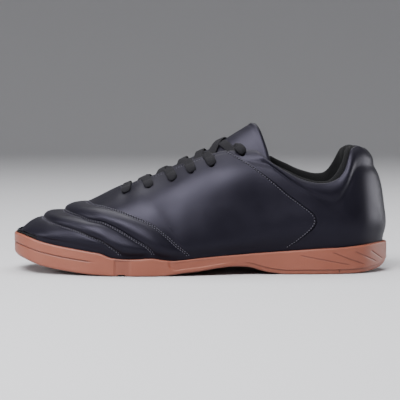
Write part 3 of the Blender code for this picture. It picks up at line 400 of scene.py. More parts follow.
def sole_grid(side, turns):
    """Points of the sole round its section, from bottom middle to footbed middle, with the shade painted
    into its grooves.
    """
    place = place_of(turns)
    low, lip, bed = bottom_height(turns), lip_height(turns), bed_height(turns)
    middle_place = centre_place(turns)
    middle = np.array([along(middle_place), centre_side(middle_place)])
    middle_low, middle_bed = bottom_height(around(middle_place)), bed_height(around(middle_place))
    x, y, _, _ = outline(side, turns)
    run = np.concatenate([[0], np.cumsum(np.hypot(np.diff(x), np.diff(y)))]) / MM
    height_mm = (lip - low) / MM
    ribs = []
    for start_place, start_share, end_place, end_share in HEEL_RIBS:
        ends = []
        for spot, share in ((start_place, start_share), (end_place, end_share)):
            base = float(bottom_height(around(spot)))
            ends.append((float(np.interp(around(spot), turns, run)), (SIDE_HEIGHT * share - base) / MM))
        ribs.append(ends)
    rows, painted_shade = [], []

    def add(inset, z, share_in=0.0, groove_shade=0.0):
        px, py = inset_outline(side, turns, inset)
        px = px * (1 - share_in) + middle[0] * share_in
        py = py * (1 - share_in) + middle[1] * share_in
        rows.append(np.stack([px, py, z], axis=-1))
        painted_shade.append(np.broadcast_to(groove_shade, turns.shape))

    edge_inset = (side_relief(place, run, 0 * run, height_mm, ribs)[0] + EDGE_ROUND) * MM
    for share_in in np.linspace(1.0, 0.0, 26)[:-1]:
        px, _ = inset_outline(side, turns, edge_inset)
        px = px * (1 - share_in) + middle[0] * share_in
        lift = groove_depth(px, share_in + 0.02)
        # Painted shade in the tread's cross grooves, as deep as each groove
        add(edge_inset, low * (1 - share_in) + middle_low * share_in + lift, share_in, lift / MM * 0.4)
    up_shares = (np.linspace(0, 0.16, 11), np.linspace(0.175, 0.93, 52), np.linspace(0.945, 1, 6))
    for up_share in np.concatenate(up_shares):
        up_mm = up_share * height_mm
        depth, groove_shade = side_relief(place, run, up_mm, height_mm, ribs)
        notch = groove_depth(x, 0.0) * (1 - ease(up_mm, 0.4, 1.4))
        add(depth * MM, low + up_mm * MM + notch, 0.0, groove_shade)
    add(np.full_like(turns, LIP_WIDTH - LIP_ROUND), lip)
    add(np.full_like(turns, LIP_WIDTH), lip - LIP_ROUND)
    add(np.full_like(turns, LIP_WIDTH), bed)
    for share_in in (0.35, 0.70, 1.0):
        add(np.full_like(turns, LIP_WIDTH), bed * (1 - share_in) + middle_bed * share_in, share_in)
    return np.stack(rows, axis=1), np.stack(painted_shade, axis=1)


# Natural gum rubber, moulded: a waxy warm brown, cloudy over 20 mm, with fine pores about
# 0.6 mm apart, and painted shade that darkens its grooves. A little light sinks in at the edges.
gum, tree, shader, spot = new_material("gum_rubber_moulded")
cloud = add_node(tree, "TexNoise",
                 {"Vector": spot, "Scale": 0.045, "Detail": 3.0, "Roughness": 0.5})
speck = add_node(tree, "TexNoise",
                 {"Vector": spot, "Scale": 1.6, "Detail": 4.0, "Roughness": 0.65})
tones = add_node(tree, "Mix", {0: cloud.outputs[0], 6: linear("743D2D"), 7: linear("824B3A")},
                 data_type="RGBA")
fine = add_node(tree, "Mix", {0: 0.10, 6: tones.outputs[2], 7: speck.outputs[1]},
                data_type="RGBA", blend_type="OVERLAY")
# Painted shade: darkens the rubber in its grooves, steps and slit, where shade falls
painted_shade_value = add_node(tree, "Attribute", {}, attribute_name="painted_shade")
shaded_rubber = add_node(tree, "Mix",
                {0: painted_shade_value.outputs["Fac"], 6: fine.outputs[2], 7: linear("4E2A24")},
                data_type="RGBA")
pores = add_node(tree, "Bump", {"Height": speck.outputs[0], "Strength": 0.35, "Distance": 0.0001})
feed(tree, shader, {"Base Color": shaded_rubber.outputs[2], "Roughness": 0.50, "Subsurface Weight": 0.06,
                    "Subsurface Radius": (0.004, 0.002, 0.001), "Normal": pores.outputs[0]})

# The lines are closer together round the heel, at the flex band and at the panel's front end
sole_turns = np.unique(np.concatenate([
    np.linspace(0.0, 1.0, 230), np.linspace(0.66, 1.0, 260),
    around(np.linspace(0.27, 0.33, 40)), around(np.linspace(0.405, 0.445, 26))]))
points, painted_shades, faces = [], [], []
for side in SIDES:
    grid, painted_shade = sole_grid(side, sole_turns)
    if side == MEDIAL:
        grid[0], grid[-1] = first_grid[0], first_grid[-1]
    first_grid = grid
    faces += grid_faces(len(sole_turns), grid.shape[1], len(points))
    points += grid.reshape(-1, 3).tolist()
    painted_shades += painted_shade.reshape(-1).tolist()

outsole = new_piece("gum_outsole", points, faces, [gum], marks={"painted_shade": painted_shades})
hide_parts("outsole")


# Upper: side panels, toe and rear quarters of smooth coated synthetic leather, lasted down
# behind the sole's lip. The toe is quilted in three ridges over thin foam, the side panel
# laps over the rear quarter, and the collar and the throat have turned edges.
INSTEP_HEIGHT = 0.0944
HEEL_HEIGHT = 0.0904
WALL = 0.0022
QUILT_RISE = 0.0028
QUILT_LEAN = 0.75
VALLEY_DIP = 0.00025
TOE_FLATTENING = 0.0042
PANEL_STEP = 0.0010
THROAT_WIDTH = 0.0330
THROAT_FRONT = 0.281
THROAT_ROUND = 0.310
THROAT_BACK = 0.700
OPEN_TOP_FROM = 0.61
OPEN_TOP_FULL = 0.70
# Sections of the last. top_place: where the section meets the top line. top_gap: half the
# opening there. The belly, flank and shoulder columns are shares of the way in and up.
SECTIONS = np.array((
    # place, top_place, top_gap, instep, heel, belly in, up, flank in, up, shoulder in, up
    (0.000, 0.058, 0.000, 0.380, 0.000, 0.06, 0.14, 0.22, 0.44, 0.54, 0.80),
    (0.035, 0.078, 0.000, 0.410, 0.000, 0.02, 0.16, 0.17, 0.46, 0.50, 0.80),
    (0.078, 0.102, 0.000, 0.432, 0.000, 0.00, 0.18, 0.12, 0.50, 0.42, 0.82),
    (0.143, 0.143, 0.000, 0.472, 0.000, -0.01, 0.20, 0.07, 0.52, 0.33, 0.83),
    (0.208, 0.208, 0.000, 0.545, 0.000, -0.02, 0.17, 0.07, 0.51, 0.38, 0.84),
    (0.274, 0.274, 0.000, 0.628, 0.000, -0.03, 0.15, 0.09, 0.52, 0.43, 0.85),
    (0.380, 0.380, 0.000, 0.766, 0.000, -0.04, 0.12, 0.13, 0.49, 0.46, 0.81),
    (0.500, 0.500, 0.000, 0.932, 0.000, -0.04, 0.13, 0.11, 0.47, 0.41, 0.80),
    (0.610, 0.610, 0.000, 1.055, 0.000, -0.07, 0.13, 0.02, 0.44, 0.26, 0.74),
    (0.700, 0.700, 0.120, 0.550, 0.570, -0.17, 0.16, -0.06, 0.41, 0.20, 0.66),
    (0.800, 0.800, 0.205, 0.000, 1.150, -0.32, 0.16, -0.20, 0.38, 0.11, 0.58),
    (0.880, 0.868, 0.180, 0.000, 1.140, -0.26, 0.15, -0.18, 0.36, 0.12, 0.58),
    (0.940, 0.900, 0.115, 0.000, 1.100, -0.18, 0.14, -0.11, 0.36, 0.17, 0.64),
    (1.000, 0.934, 0.000, 0.000, 1.030, -0.13, 0.14, -0.06, 0.36, 0.21, 0.67),
))
SECTION_STEPS = np.array((0.0, 0.10, 0.24, 0.48, 0.74, 1.0))
# The rim of the collar, as shares of the heel height
COLLAR_RIM = np.array((
    # place, lateral, medial
    (0.560, 1.080, 1.080),
    (0.590, 1.060, 1.062),
    (0.610, 1.045, 1.050),
    (0.629, 1.026, 1.036),
    (0.647, 0.984, 1.000),
    (0.669, 0.925, 0.950),
    (0.704, 0.848, 0.880),
    (0.732, 0.802, 0.836),
    (0.755, 0.763, 0.798),
    (0.785, 0.730, 0.765),
    (0.815, 0.714, 0.748),
    (0.845, 0.724, 0.764),
    (0.870, 0.762, 0.818),
    (0.886, 0.818, 0.874),
    (0.902, 0.905, 0.934),
    (0.918, 0.968, 0.976),
    (0.940, 0.996, 0.996),
    (0.965, 1.000, 1.000),
    (1.000, 0.984, 0.984),
))
# Half width of the throat, as a share of the throat's width
THROAT = np.array((
    # place, half width
    (0.310, 0.320),
    (0.369, 0.364),
    (0.420, 0.394),
    (0.470, 0.424),
    (0.530, 0.470),
    (0.567, 0.500),
    (0.610, 0.536),
    (0.700, 0.640),
))
# The line where the side panel laps over the rear quarter
SEAM = np.array((
    # up, place
    (0.00, 0.710),
    (0.12, 0.731),
    (0.18, 0.763),
    (0.25, 0.794),
    (0.32, 0.804),
    (0.37, 0.797),
    (0.43, 0.776),
    (0.53, 0.736),
    (0.66, 0.684),
    (0.74, 0.637),
    (0.80, 0.598),
    (0.90, 0.553),
    (1.00, 0.530),
))
# Stitched valleys between the quilted ridges: where each one lies at a step up the section
VALLEY_LINES = np.array((
    # up, valley_1, valley_2, valley_3
    (0.00, 0.294, 0.380, 0.480),
    (0.10, 0.293, 0.379, 0.475),
    (0.17, 0.288, 0.377, 0.465),
    (0.25, 0.262, 0.362, 0.443),
    (0.32, 0.218, 0.331, 0.420),
    (0.40, 0.181, 0.292, 0.382),
    (0.48, 0.150, 0.254, 0.341),
    (0.56, 0.125, 0.213, 0.303),
    (0.65, 0.100, 0.186, 0.264),
    (0.78, 0.070, 0.158, 0.223),
    (0.90, 0.048, 0.139, 0.203),
    (1.00, 0.036, 0.132, 0.197),
))
# Key lines from the sole to the top edge, with the number of lines between each and the next
KEY_LINES = (
    # name, bottom place, top place, lines
    ("toe", 0.000, 0.000, 44),
    ("valley_1", None, None, 28),
    ("valley_2", None, None, 28),
    ("valley_3", None, None, 18),
    ("throat_front", 0.520, 0.281, 14),
    ("throat_side", 0.535, 0.318, 12),
    ("waist", 0.585, 0.420, 26),
    ("seam", None, None, 44),
    ("collar_dip", 0.875, 0.875, 46),
    ("heel", 1.000, 1.000, 0),
)
VALLEYS = (1, 2, 3)
SEAM_KEY = 7
# Distances from the panel's edge, in mm, of the extra lines that shape its step
SEAM_LINES = (-3.0, -2.2, -1.5, -0.9, -0.5, -0.2, 0.0, 0.15, 0.4, 0.8, 1.4, 2.2)
# Measures in mm: the throat's stitch row from its edge and the depth of its groove, the
# collar's padded band with the trough below it, and a section's length from sole to top
THROAT_STITCH = 2.3
THROAT_GROOVE = 0.22
COLLAR_BAND = 13.0
COLLAR_BAND_RISE = 1.5
COLLAR_TROUGH = 15.0
COLLAR_TROUGH_DEPTH = 0.4
UP_MM = 75.0
# Soft creases and swellings of the leather
CREASES = (
    # start place, start up, end place, end up, width in mm, height in mm
    (0.455, 0.30, 0.400, 0.62, 7.0, -0.45),
    (0.500, 0.26, 0.470, 0.50, 8.0, -0.30),
    (0.600, 0.30, 0.720, 0.42, 9.0, -0.55),
    (0.560, 0.55, 0.640, 0.62, 9.0, 0.35),
    (0.660, 0.22, 0.740, 0.20, 7.0, 0.35),
    (0.850, 0.42, 0.905, 0.60, 7.0, -0.30),
    (0.925, 0.98, 0.950, 0.66, 7.0, -0.20),
    (0.300, 0.72, 0.318, 0.98, 4.0, -0.40),
    (0.335, 0.62, 0.350, 0.92, 5.0, 0.30),
)


def unit(vectors):
    return vectors / np.maximum(np.linalg.norm(vectors, axis=-1, keepdims=True), 1e-12)


def last_surface(side, turn, up):
    """A point of the last: turn runs round from toe to heel, up from the sole to the top."""
    turn, up = np.broadcast_arrays(np.asarray(turn, float), np.asarray(up, float))
    foot_x, foot_y = inset_outline(side, turn, LIP_WIDTH + GAP)
    foot_z = bed_height(turn) + GAP
    lip_z = lip_height(turn) + 2 * GAP
    top_place = column(SECTIONS, 1, turn)
    top_x = along(top_place)
    top_y = centre_side(top_place) + side * BALL_WIDTH * np.maximum(column(SECTIONS, 2, turn), 0)
    top_z = INSTEP_HEIGHT * column(SECTIONS, 3, turn) + HEEL_HEIGHT * column(SECTIONS, 4, turn)
    nudge = 1e-3
    ahead = column(SECTIONS, 1, turn + nudge), column(SECTIONS, 3, turn + nudge)
    behind = column(SECTIONS, 1, turn - nudge), column(SECTIONS, 3, turn - nudge)
    run = LENGTH * (ahead[0] - behind[0])
    ridge_slope = INSTEP_HEIGHT * (ahead[1] - behind[1]) / np.maximum(run, 1e-6)
    rise = top_z - lip_z
    inward = [np.zeros_like(turn), np.zeros_like(turn)]
    height = [foot_z, lip_z]
    for first in (5, 7, 9):
        inward.append(column(SECTIONS, first, turn))
        height.append(lip_z + rise * column(SECTIONS, first + 1, turn))
    inward.append(np.ones_like(turn))
    height.append(top_z)
    inward, height = np.array(inward), np.array(height)
    steps = np.diff(SECTION_STEPS).reshape(-1, *([1] * turn.ndim))
    way_in, way_up = slopes_through(inward, steps), slopes_through(height, steps)
    opened = np.clip((place_of(turn) - OPEN_TOP_FROM) / (OPEN_TOP_FULL - OPEN_TOP_FROM), 0, 1)
    flat_end = ridge_slope * (top_x - foot_x) * way_in[-1]
    way_up[-1] = opened * way_up[-1] + (1 - opened) * flat_end
    row = np.clip(np.searchsorted(SECTION_STEPS, up, side="right") - 1, 0, 4)
    span = np.diff(SECTION_STEPS)[row]
    f = (up - SECTION_STEPS[row]) / span

    def blend(values, ways):
        def pick(source, offset):
            return np.take_along_axis(source, (row + offset)[None], axis=0)[0]
        return cubic(f, span, pick(values, 0), pick(values, 1), pick(ways, 0), pick(ways, 1))

    share, z = blend(inward, way_in), blend(height, way_up)
    return np.stack([foot_x + share * (top_x - foot_x), foot_y + share * (top_y - foot_y), z], axis=-1)


def outward(side, turn, up):
    """The last's outward direction at a point."""
    nudge = 1e-3
    round_way = last_surface(side, np.minimum(turn + nudge, 1.0), up)
    round_way = round_way - last_surface(side, np.maximum(turn - nudge, 0.0), up)
    up_way = last_surface(side, turn, np.minimum(up + nudge, 1.0))
    up_way = up_way - last_surface(side, turn, np.maximum(up - nudge, 0.0))
    return unit(-side * np.cross(round_way, up_way))


def throat_half(place):
    """Half the throat's width at a place, with its rounded front end."""
    half = THROAT_WIDTH * smooth_line(THROAT[:, 0], THROAT[:, 1], np.maximum(place, THROAT_ROUND))
    back = np.clip((THROAT_ROUND - place) / (THROAT_ROUND - THROAT_FRONT), 0.0, 1.0)
    return half * np.sqrt(1 - back**2)


def top_edge(side, turn):
    """How far up a section the upper reaches: to the centre line, the throat or the collar rim."""
    ups = np.linspace(0.30, 1.0, 141)
    points = last_surface(side, turn[:, None], ups[None, :])
    place = points[..., 0] / LENGTH + 0.5
    off_centre = np.abs(points[..., 1] - centre_side(place)) - throat_half(place)
    off_centre = np.where((place < THROAT_FRONT) | (place > THROAT_BACK), 1.0, off_centre)
    rim = HEEL_HEIGHT * smooth_line(COLLAR_RIM[:, 0], COLLAR_RIM[:, 1 if side < 0 else 2], place_of(turn))
    off_rim = np.where(place_of(turn) < COLLAR_RIM[0][0], 1.0, rim)[:, None] - points[..., 2]
    inside = np.minimum(off_centre, off_rim)
    reach = np.ones(len(turn))
    for index, values in enumerate(inside):
        crossing = np.nonzero(values <= 0)[0]
        if len(crossing) and crossing[0] > 0:
            low = crossing[0] - 1
            share = values[low] / (values[low] - values[low + 1])
            reach[index] = ups[low] + share * (ups[low + 1] - ups[low])
    return reach


def turn_per_mm(turn):
    """How far round the outline one millimetre along the shoe takes."""
    return MM / (LENGTH * math.pi / 2 * np.maximum(np.sin(math.pi * turn), 0.2))


def key_turn(index, up):
    """Where a key line lies round the shoe at a step up the section."""
    name, bottom, top, _ = KEY_LINES[index]
    if name == "seam":
        return around(smooth_line(SEAM[:, 0], SEAM[:, 1], up))
    if index in VALLEYS:
        return around(smooth_line(VALLEY_LINES[:, 0], VALLEY_LINES[:, index], up))
    return around(bottom) * (1 - up) + around(top) * up


def line_turn(line, up):
    """Where a grid line lies: index of its key line, share towards the next, and shift in mm."""
    index, share, shift = line
    turn = key_turn(index, up) * (1 - share)
    if share:
        turn = turn + key_turn(index + 1, up) * share
    return turn + shift * turn_per_mm(turn)


def upper_lines():
    """Every line of the upper, from the toe to the heel."""
    lines = []
    for index, key in enumerate(KEY_LINES[:-1]):
        count = key[3]
        shares = np.arange(count) / count
        if key[0] == "throat_front":
            shares = shares ** 2
        if index == SEAM_KEY - 1:
            shares = np.linspace(0.0, 0.90, count)
        if index == SEAM_KEY:
            lines += [(index, 0.0, shift) for shift in SEAM_LINES]
            shares = np.linspace(0.17, 1.0, count + 1)[:-1]
        lines += [(index, float(share), 0.0) for share in shares]
    lines.append((len(KEY_LINES) - 2, 1.0, 0.0))
    return lines


def relief(line, up, turn, edge_mm):
    """How far the leather stands off the last, in metres, at points of one line."""
    index, share, shift = line
    height = np.zeros_like(up)
    above_lip = ease(up, 0.12, 0.22)
    if index < 3:
        flat = 0.05 if index else 0.03
        swell = (1 + share * (1 + flat)) / 2 if index == 0 else (share - flat) / (1 - 2 * flat)
        swell = min(max(swell, 0.0), 1.0)
        bulge = math.sin(math.pi * swell ** QUILT_LEAN)
        height = height + QUILT_RISE * bulge ** 0.62 * ease(up, 0.10, 0.30)
        height = height - VALLEY_DIP * (1 - bulge) * above_lip
        if index == 0:
            height = height - TOE_FLATTENING * (1 - share) ** 1.5 * ease(up, 0.04, 0.30)
    elif index < SEAM_KEY or (index == SEAM_KEY and share == 0.0 and shift <= 0.0):
        lead_in = float(ease(share, 0.05, 1.0)) if index == 3 else 1.0
        edge = 1.0
        if index == SEAM_KEY:
            edge = math.sqrt(max(0.0, 1 - (1 + max(shift, -1.0)) ** 2)) if shift > -1.0 else 1.0
        height = height + PANEL_STEP * lead_in * above_lip * edge
        if index == 3 and share < 0.2:
            height = height - VALLEY_DIP * (1 - share / 0.2) * above_lip
    elif index == SEAM_KEY and share == 0.0:
        height = height - 0.35 * MM * math.exp(-(shift / 0.6) ** 2) * above_lip
    # The stitched groove beside the throat's turned edge
    place = place_of(turn)
    if 4 <= index <= SEAM_KEY:
        beside = (1 - ease(place, 0.56, 0.60)) * ease(place, 0.285, 0.30)
        row_dip = np.exp(-((edge_mm - THROAT_STITCH) / 0.5) ** 2) * beside
        height = height - THROAT_GROOVE * MM * row_dip
    # The padded band under the collar's rim, with a soft trough below it
    padded = ease(place, 0.60, 0.69) * (index >= SEAM_KEY - 1)
    band = np.clip(edge_mm / COLLAR_BAND, 0, 1)
    puff = np.sin(math.pi * band) ** 0.8 * (edge_mm < COLLAR_BAND)
    trough = np.exp(-((edge_mm - COLLAR_TROUGH) / 3.6) ** 2)
    height = height + padded * MM * (COLLAR_BAND_RISE * puff - COLLAR_TROUGH_DEPTH * trough)
    for start_place, start_up, end_place, end_up, width, rise in CREASES:
        way = np.array([(end_place - start_place) * LENGTH / MM, (end_up - start_up) * UP_MM])
        size = float(np.hypot(*way))
        way = way / size
        off = np.array([(place - start_place) * LENGTH / MM, (up - start_up) * UP_MM])
        lengthwise = off[0] * way[0] + off[1] * way[1]
        across = off[0] * way[1] - off[1] * way[0]
        ends = ease(lengthwise, -6.0, size * 0.3) * (1 - ease(lengthwise, size * 0.6, size + 7.0))
        height = height + rise * MM * np.exp(-(across / width) ** 2) * ends
    return height


def skin_point(side, turn, up, off, shared=False):
    """A point off the last, where both sides agree on the lines that they share."""
    normal = outward(side, turn, up)
    spot = last_surface(side, turn, up)
    if np.any(shared):
        other_normal, other = outward(-side, turn, up), last_surface(-side, turn, up)
        mask = np.broadcast_to(shared, up.shape)[..., None]
        normal = np.where(mask, unit(normal + other_normal), normal)
        spot = np.where(mask, (spot + other) / 2, spot)
    return spot + np.asarray(off)[..., None] * normal


outer_share = np.concatenate([np.linspace(0, 0.12, 5)[:-1], np.linspace(0.12, 0.90, 46)[:-1],
                              np.linspace(0.90, 1, 14)])
inner_share = np.linspace(1.0, 0.0, 20)
rim_angles = np.linspace(0, math.pi, 9)[1:-1]
lines = upper_lines()
throat_line = sum(key[3] for key in KEY_LINES[:4])
reaches = {}
points, faces, slots = [], [], []
closed = np.arange(len(lines)) <= throat_line
at_end = np.isin(np.arange(len(lines)), (0, len(lines) - 1))
ring_count = len(outer_share) + len(rim_angles) + len(inner_share)
for side in SIDES:
    level = np.ones(np.count_nonzero(~closed))
    for _ in range(11):
        turns = np.array([float(line_turn(line, up)) for line, up in zip(lines[throat_line + 1:], level)])
        level = 0.5 * level + 0.5 * top_edge(side, turns)
    reach = np.concatenate([np.ones(throat_line + 1), level])
    reaches[side] = reach
    ups = reach[:, None] * outer_share
    turn = np.array([line_turn(line, up) for line, up in zip(lines, ups)])
    track = last_surface(side, turn, ups)
    steps = np.linalg.norm(np.diff(track, axis=1), axis=2)
    edge_mm = np.cumsum(steps[:, ::-1], axis=1)[:, ::-1] / MM
    edge_mm = np.concatenate([edge_mm, np.zeros((len(lines), 1))], axis=1) + 1000.0 * closed[:, None]
    rise = np.array([relief(line, *spots) for line, *spots in zip(lines, ups, turn, edge_mm)])
    shared = at_end[:, None] | (closed[:, None] & (outer_share == 1.0))
    outer = skin_point(side, turn, ups, rise, shared)
    inner_ups = reach[:, None] * inner_share
    inner_turn = np.array([line_turn(line, up) for line, up in zip(lines, inner_ups)])
    inner_shared = at_end[:, None] | (closed[:, None] & (inner_share == 1.0))
    inner = skin_point(side, inner_turn, inner_ups, 0 * inner_ups - WALL, inner_shared)
    inner[:, -1, 2] = outer[:, 0, 2]
    middle, half = (outer[:, -1] + inner[:, 0]) / 2, (outer[:, -1] - inner[:, 0]) / 2
    beyond = unit(track[:, -1] - track[:, -2]) * np.linalg.norm(half, axis=1)[:, None] * ~closed[:, None]
    rim = [middle + half * math.cos(angle) + beyond * math.sin(angle) for angle in rim_angles]
    offset = len(points)
    points += np.concatenate([outer, np.stack(rim, axis=1), inner], axis=1).reshape(-1, 3).tolist()
    for line in range(len(lines) - 1):
        for ring in range(ring_count):
            after = (ring + 1) % ring_count
            in_rim = len(outer_share) - 1 <= ring < len(outer_share) + len(rim_angles)
            if in_rim and closed[line + 1]:
                continue
            here, there = offset + line * ring_count, offset + (line + 1) * ring_count
            faces.append((here + ring, there + ring, there + after, here + after))
            slots.append(0 if ring < len(outer_share) + len(rim_angles) - 2 else 1)

# Synthetic leather, coated and embossed: near black with a cool tinge, a soft satin gloss
# that wanders over 20 mm, and a low pebble grain of about 0.9 mm.
leather, tree, shader, spot = new_material("coated_synthetic_leather")
cells = add_node(tree, "TexVoronoi", {"Vector": spot, "Scale": 1.15, "Randomness": 0.9},
                 feature="DISTANCE_TO_EDGE")
grain = add_node(tree, "MapRange",
                 {0: cells.outputs["Distance"], 1: 0.0, 2: 0.16, 3: 0.0, 4: 1.0})
haze = add_node(tree, "TexNoise",
                {"Vector": spot, "Scale": 0.05, "Detail": 3.0, "Roughness": 0.55})
fibre = add_node(tree, "TexNoise",
                 {"Vector": spot, "Scale": 2.6, "Detail": 3.0, "Roughness": 0.6})
tone = add_node(tree, "Mix", {0: haze.outputs[0], 6: linear("0D0C12"), 7: linear("14131A")},
                data_type="RGBA")
gloss = add_node(tree, "MapRange", {0: haze.outputs[0], 1: 0.3, 2: 0.7, 3: 0.36, 4: 0.46})
coarse = add_node(tree, "Bump", {"Height": grain.outputs[0], "Strength": 0.16, "Distance": 0.00006})
soft = add_node(tree, "Bump", {"Height": fibre.outputs[0], "Strength": 0.12,
                               "Distance": 0.00008, "Normal": coarse.outputs[0]})
feed(tree, shader, {"Base Color": tone.outputs[2], "Roughness": gloss.outputs[0],
                    "Specular IOR Level": 0.20, "Specular Tint": linear("E6E1FF"),
                    "Normal": soft.outputs[0]})

# Polyester mesh, knitted: dull black with small dark holes. The holes are drawn 1 mm apart,
# coarser than the real 0.5 mm, so that they show.
lining, tree, shader, spot = new_material("knitted_lining_mesh")
turned = add_node(tree, "Mapping", {"Vector": spot, "Rotation": (0.6, 0.4, 0.8)})
loops = add_node(tree, "TexVoronoi",
                 {"Vector": turned.outputs[0], "Scale": 0.95, "Randomness": 0.15})
yarn = add_node(tree, "TexNoise",
                {"Vector": spot, "Scale": 3.5, "Detail": 2.0, "Roughness": 0.6})
holes = add_node(tree, "MapRange",
                 {0: loops.outputs["Distance"], 1: 0.15, 2: 0.55, 3: 0.0, 4: 1.0})
knit = add_node(tree, "Mix", {0: holes.outputs[0], 6: linear("020203"), 7: linear("0A0A0D")},
                data_type="RGBA")
weave = add_node(tree, "Bump", {"Height": holes.outputs[0], "Strength": 0.7, "Distance": 0.0003})
hair = add_node(tree, "Bump", {"Height": yarn.outputs[0], "Strength": 0.3,
                               "Distance": 0.0001, "Normal": weave.outputs[0]})
feed(tree, shader, {"Base Color": knit.outputs[2], "Roughness": 0.88, "Sheen Weight": 0.02,
                    "Specular IOR Level": 0.2, "Normal": hair.outputs[0]})

upper = new_piece("leather_upper", points, faces, [leather, lining], slots)
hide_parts("upper")


# Eyelets: six pairs of plain holes punched through the leather and its lining beside the
# throat, with no metal in them. The lace hides all but their lower edges.
EYELETS = np.array((
    # place, up
    (0.304, 0.800),
    (0.366, 0.769),
    (0.429, 0.754),
    (0.479, 0.757),
    (0.533, 0.765),
    (0.613, 0.815),
))
EYELET_BORE = 0.0040

eyelet_turns, eyelet_ups = around(EYELETS[:, 0]), EYELETS[:, 1]
eyelets = {side: list(zip(last_surface(side, eyelet_turns, eyelet_ups),
                          outward(side, eyelet_turns, eyelet_ups))) for side in SIDES}
punch_shape = bmesh.new()
for side in SIDES:
    for centre, normal in eyelets[side]:
        tilt = Vector((0, 0, 1)).rotation_difference(Vector(normal)).to_matrix().to_4x4()
        tilt.translation = Vector(centre)
        bmesh.ops.create_cone(punch_shape, cap_ends=True, segments=24, radius1=EYELET_BORE / 2,
                              radius2=EYELET_BORE / 2, depth=6 * WALL, matrix=tilt)
punch_mesh = bpy.data.meshes.new("eyelet_punch")
punch_shape.to_mesh(punch_mesh)
punch_shape.free()
punch = bpy.data.objects.new("eyelet_punch", punch_mesh)
bpy.context.scene.collection.objects.link(punch)
holes = upper.modifiers.new("eyelet_holes", "BOOLEAN")
holes.operation = "DIFFERENCE"
holes.solver = "EXACT"
holes.object = punch
punched = bpy.data.meshes.new_from_object(upper.evaluated_get(bpy.context.evaluated_depsgraph_get()))
upper.modifiers.clear()
upper.data = punched
upper.data.shade_smooth()
upper.data.set_sharp_from_angle(angle=math.radians(50))
bpy.data.objects.remove(punch, do_unlink=True)


# Stitching: black bonded thread. Two close rows lie in each quilting valley, one row holds
# the side panel's edge and one the turned edge of the throat. At both ends of each stitch a flat
# dark disc paints the shade of its needle hole.
STITCH_PITCH = 2.0
STITCH_SIZE = (0.72, 0.30, 0.30)
HOLE_SIZE = (0.58, 0.60, 0.14)
ROW_SHIFTS = (-0.85, 0.85)
PANEL_STITCH = -1.5
ROW_START = 0.115
UP_NUDGE = 0.01


def skin_path(side, turn, up, line, edge_mm=1000.0):
    """A path on the leather's outside, with its outward directions."""
    rise = np.array([float(relief(line, up[i:i + 1], turn[i:i + 1], np.array([edge_mm]))[0])
                     for i in range(len(up))])
    return skin_point(side, turn, up, rise), outward(side, turn, up)


def on_skin(points, normals):
    """Moves a path along its outward directions onto the leather's finished mesh."""
    settled = []
    for point, normal in zip(points, normals):
        hit, place, _, _ = upper.ray_cast(Vector(point + 4 * MM * normal), Vector(-normal))
        settled.append(np.array(place) if hit else point)
    return np.array(settled)


def spread_stitches(points, normals):
    """Evenly spaced spots along a path, with the path's direction and the skin's normal."""
    steps = np.linalg.norm(np.diff(points, axis=0), axis=1) / MM
    run = np.concatenate([[0], np.cumsum(steps)])
    spots = np.arange(STITCH_PITCH, run[-1] - STITCH_PITCH, STITCH_PITCH)

    def read(values):
        return np.stack([np.interp(spots, run, values[:, axis]) for axis in range(3)], axis=-1)

    here, ahead = read(points), read(points + np.gradient(points, run * MM, axis=0) * MM)
    way, normal = unit(ahead - here), unit(read(normals))
    return on_skin(here, normal), way, normal


def pebble(rings, sides):
    """A unit sphere as points and faces, for stitches and needle holes."""
    points, faces = [(0.0, 0.0, 1.0)], []
    for ring in range(1, rings):
        low = math.pi * ring / rings
        points += [(math.sin(low) * math.cos(2 * math.pi * i / sides),
                    math.sin(low) * math.sin(2 * math.pi * i / sides), math.cos(low)) for i in range(sides)]
    points.append((0.0, 0.0, -1.0))
    last = len(points) - 1
    for i in range(sides):
        after = (i + 1) % sides
        faces.append((0, 1 + i, 1 + after))
        faces.append((last, last - sides + after, last - sides + i))
        for ring in range(rings - 2):
            base = 1 + ring * sides
            faces.append((base + i, base + sides + i, base + sides + after, base + after))
    return np.array(points), faces


rows = []
for side in SIDES:
    for valley in VALLEYS:
        for shift in ROW_SHIFTS:
            ups = np.linspace(ROW_START, 1.0, 120)
            turns = line_turn((valley, 0.0, shift), ups)
            rows.append(skin_path(side, turns, ups, (valley, 0.0, 0.0)))
    seam_reach = reaches[side][lines.index((SEAM_KEY, 0.0, 0.0))]
    ups = np.linspace(ROW_START, seam_reach, 140)
    turns = line_turn((SEAM_KEY, 0.0, PANEL_STITCH), ups)
    rows.append(skin_path(side, turns, ups, (SEAM_KEY, 0.0, PANEL_STITCH)))
    edge_turns = around(np.linspace(0.287, 0.548, 140))
    edge_ups = top_edge(side, edge_turns)
    below = last_surface(side, edge_turns, edge_ups - UP_NUDGE)
    local = np.linalg.norm(last_surface(side, edge_turns, edge_ups) - below, axis=1)
    edge_ups = edge_ups - THROAT_STITCH / (local / (UP_NUDGE * MM))
    rows.append(skin_path(side, edge_turns, edge_ups, (6, 0.5, 0.0), THROAT_STITCH))

stitch_points, stitch_faces = pebble(6, 8)
# The needle holes are flat dark discs of painted shade
hole_points, hole_faces = pebble(4, 8)
points, faces, slots = [], [], []
for path, normals in rows:
    spots, ways, ups = spread_stitches(path, normals)
    for spot, way, normal in zip(spots, ways, ups):
        across = np.cross(normal, way)
        frame_now = np.stack([way, across, normal])
        for shape_points, shape_faces, size, off, slot in (
                (stitch_points, stitch_faces, STITCH_SIZE, (0.0, 0.04), 0),
                (hole_points, hole_faces, HOLE_SIZE, (STITCH_PITCH / 2, 0.02), 1)):
            start = len(points)
            moved = (shape_points * np.array(size) * MM) @ frame_now
            moved = moved + spot + (off[0] * way + off[1] * normal) * MM
            points += moved.tolist()
            faces += [tuple(start + i for i in face) for face in shape_faces]
            slots += [slot] * len(shape_faces)

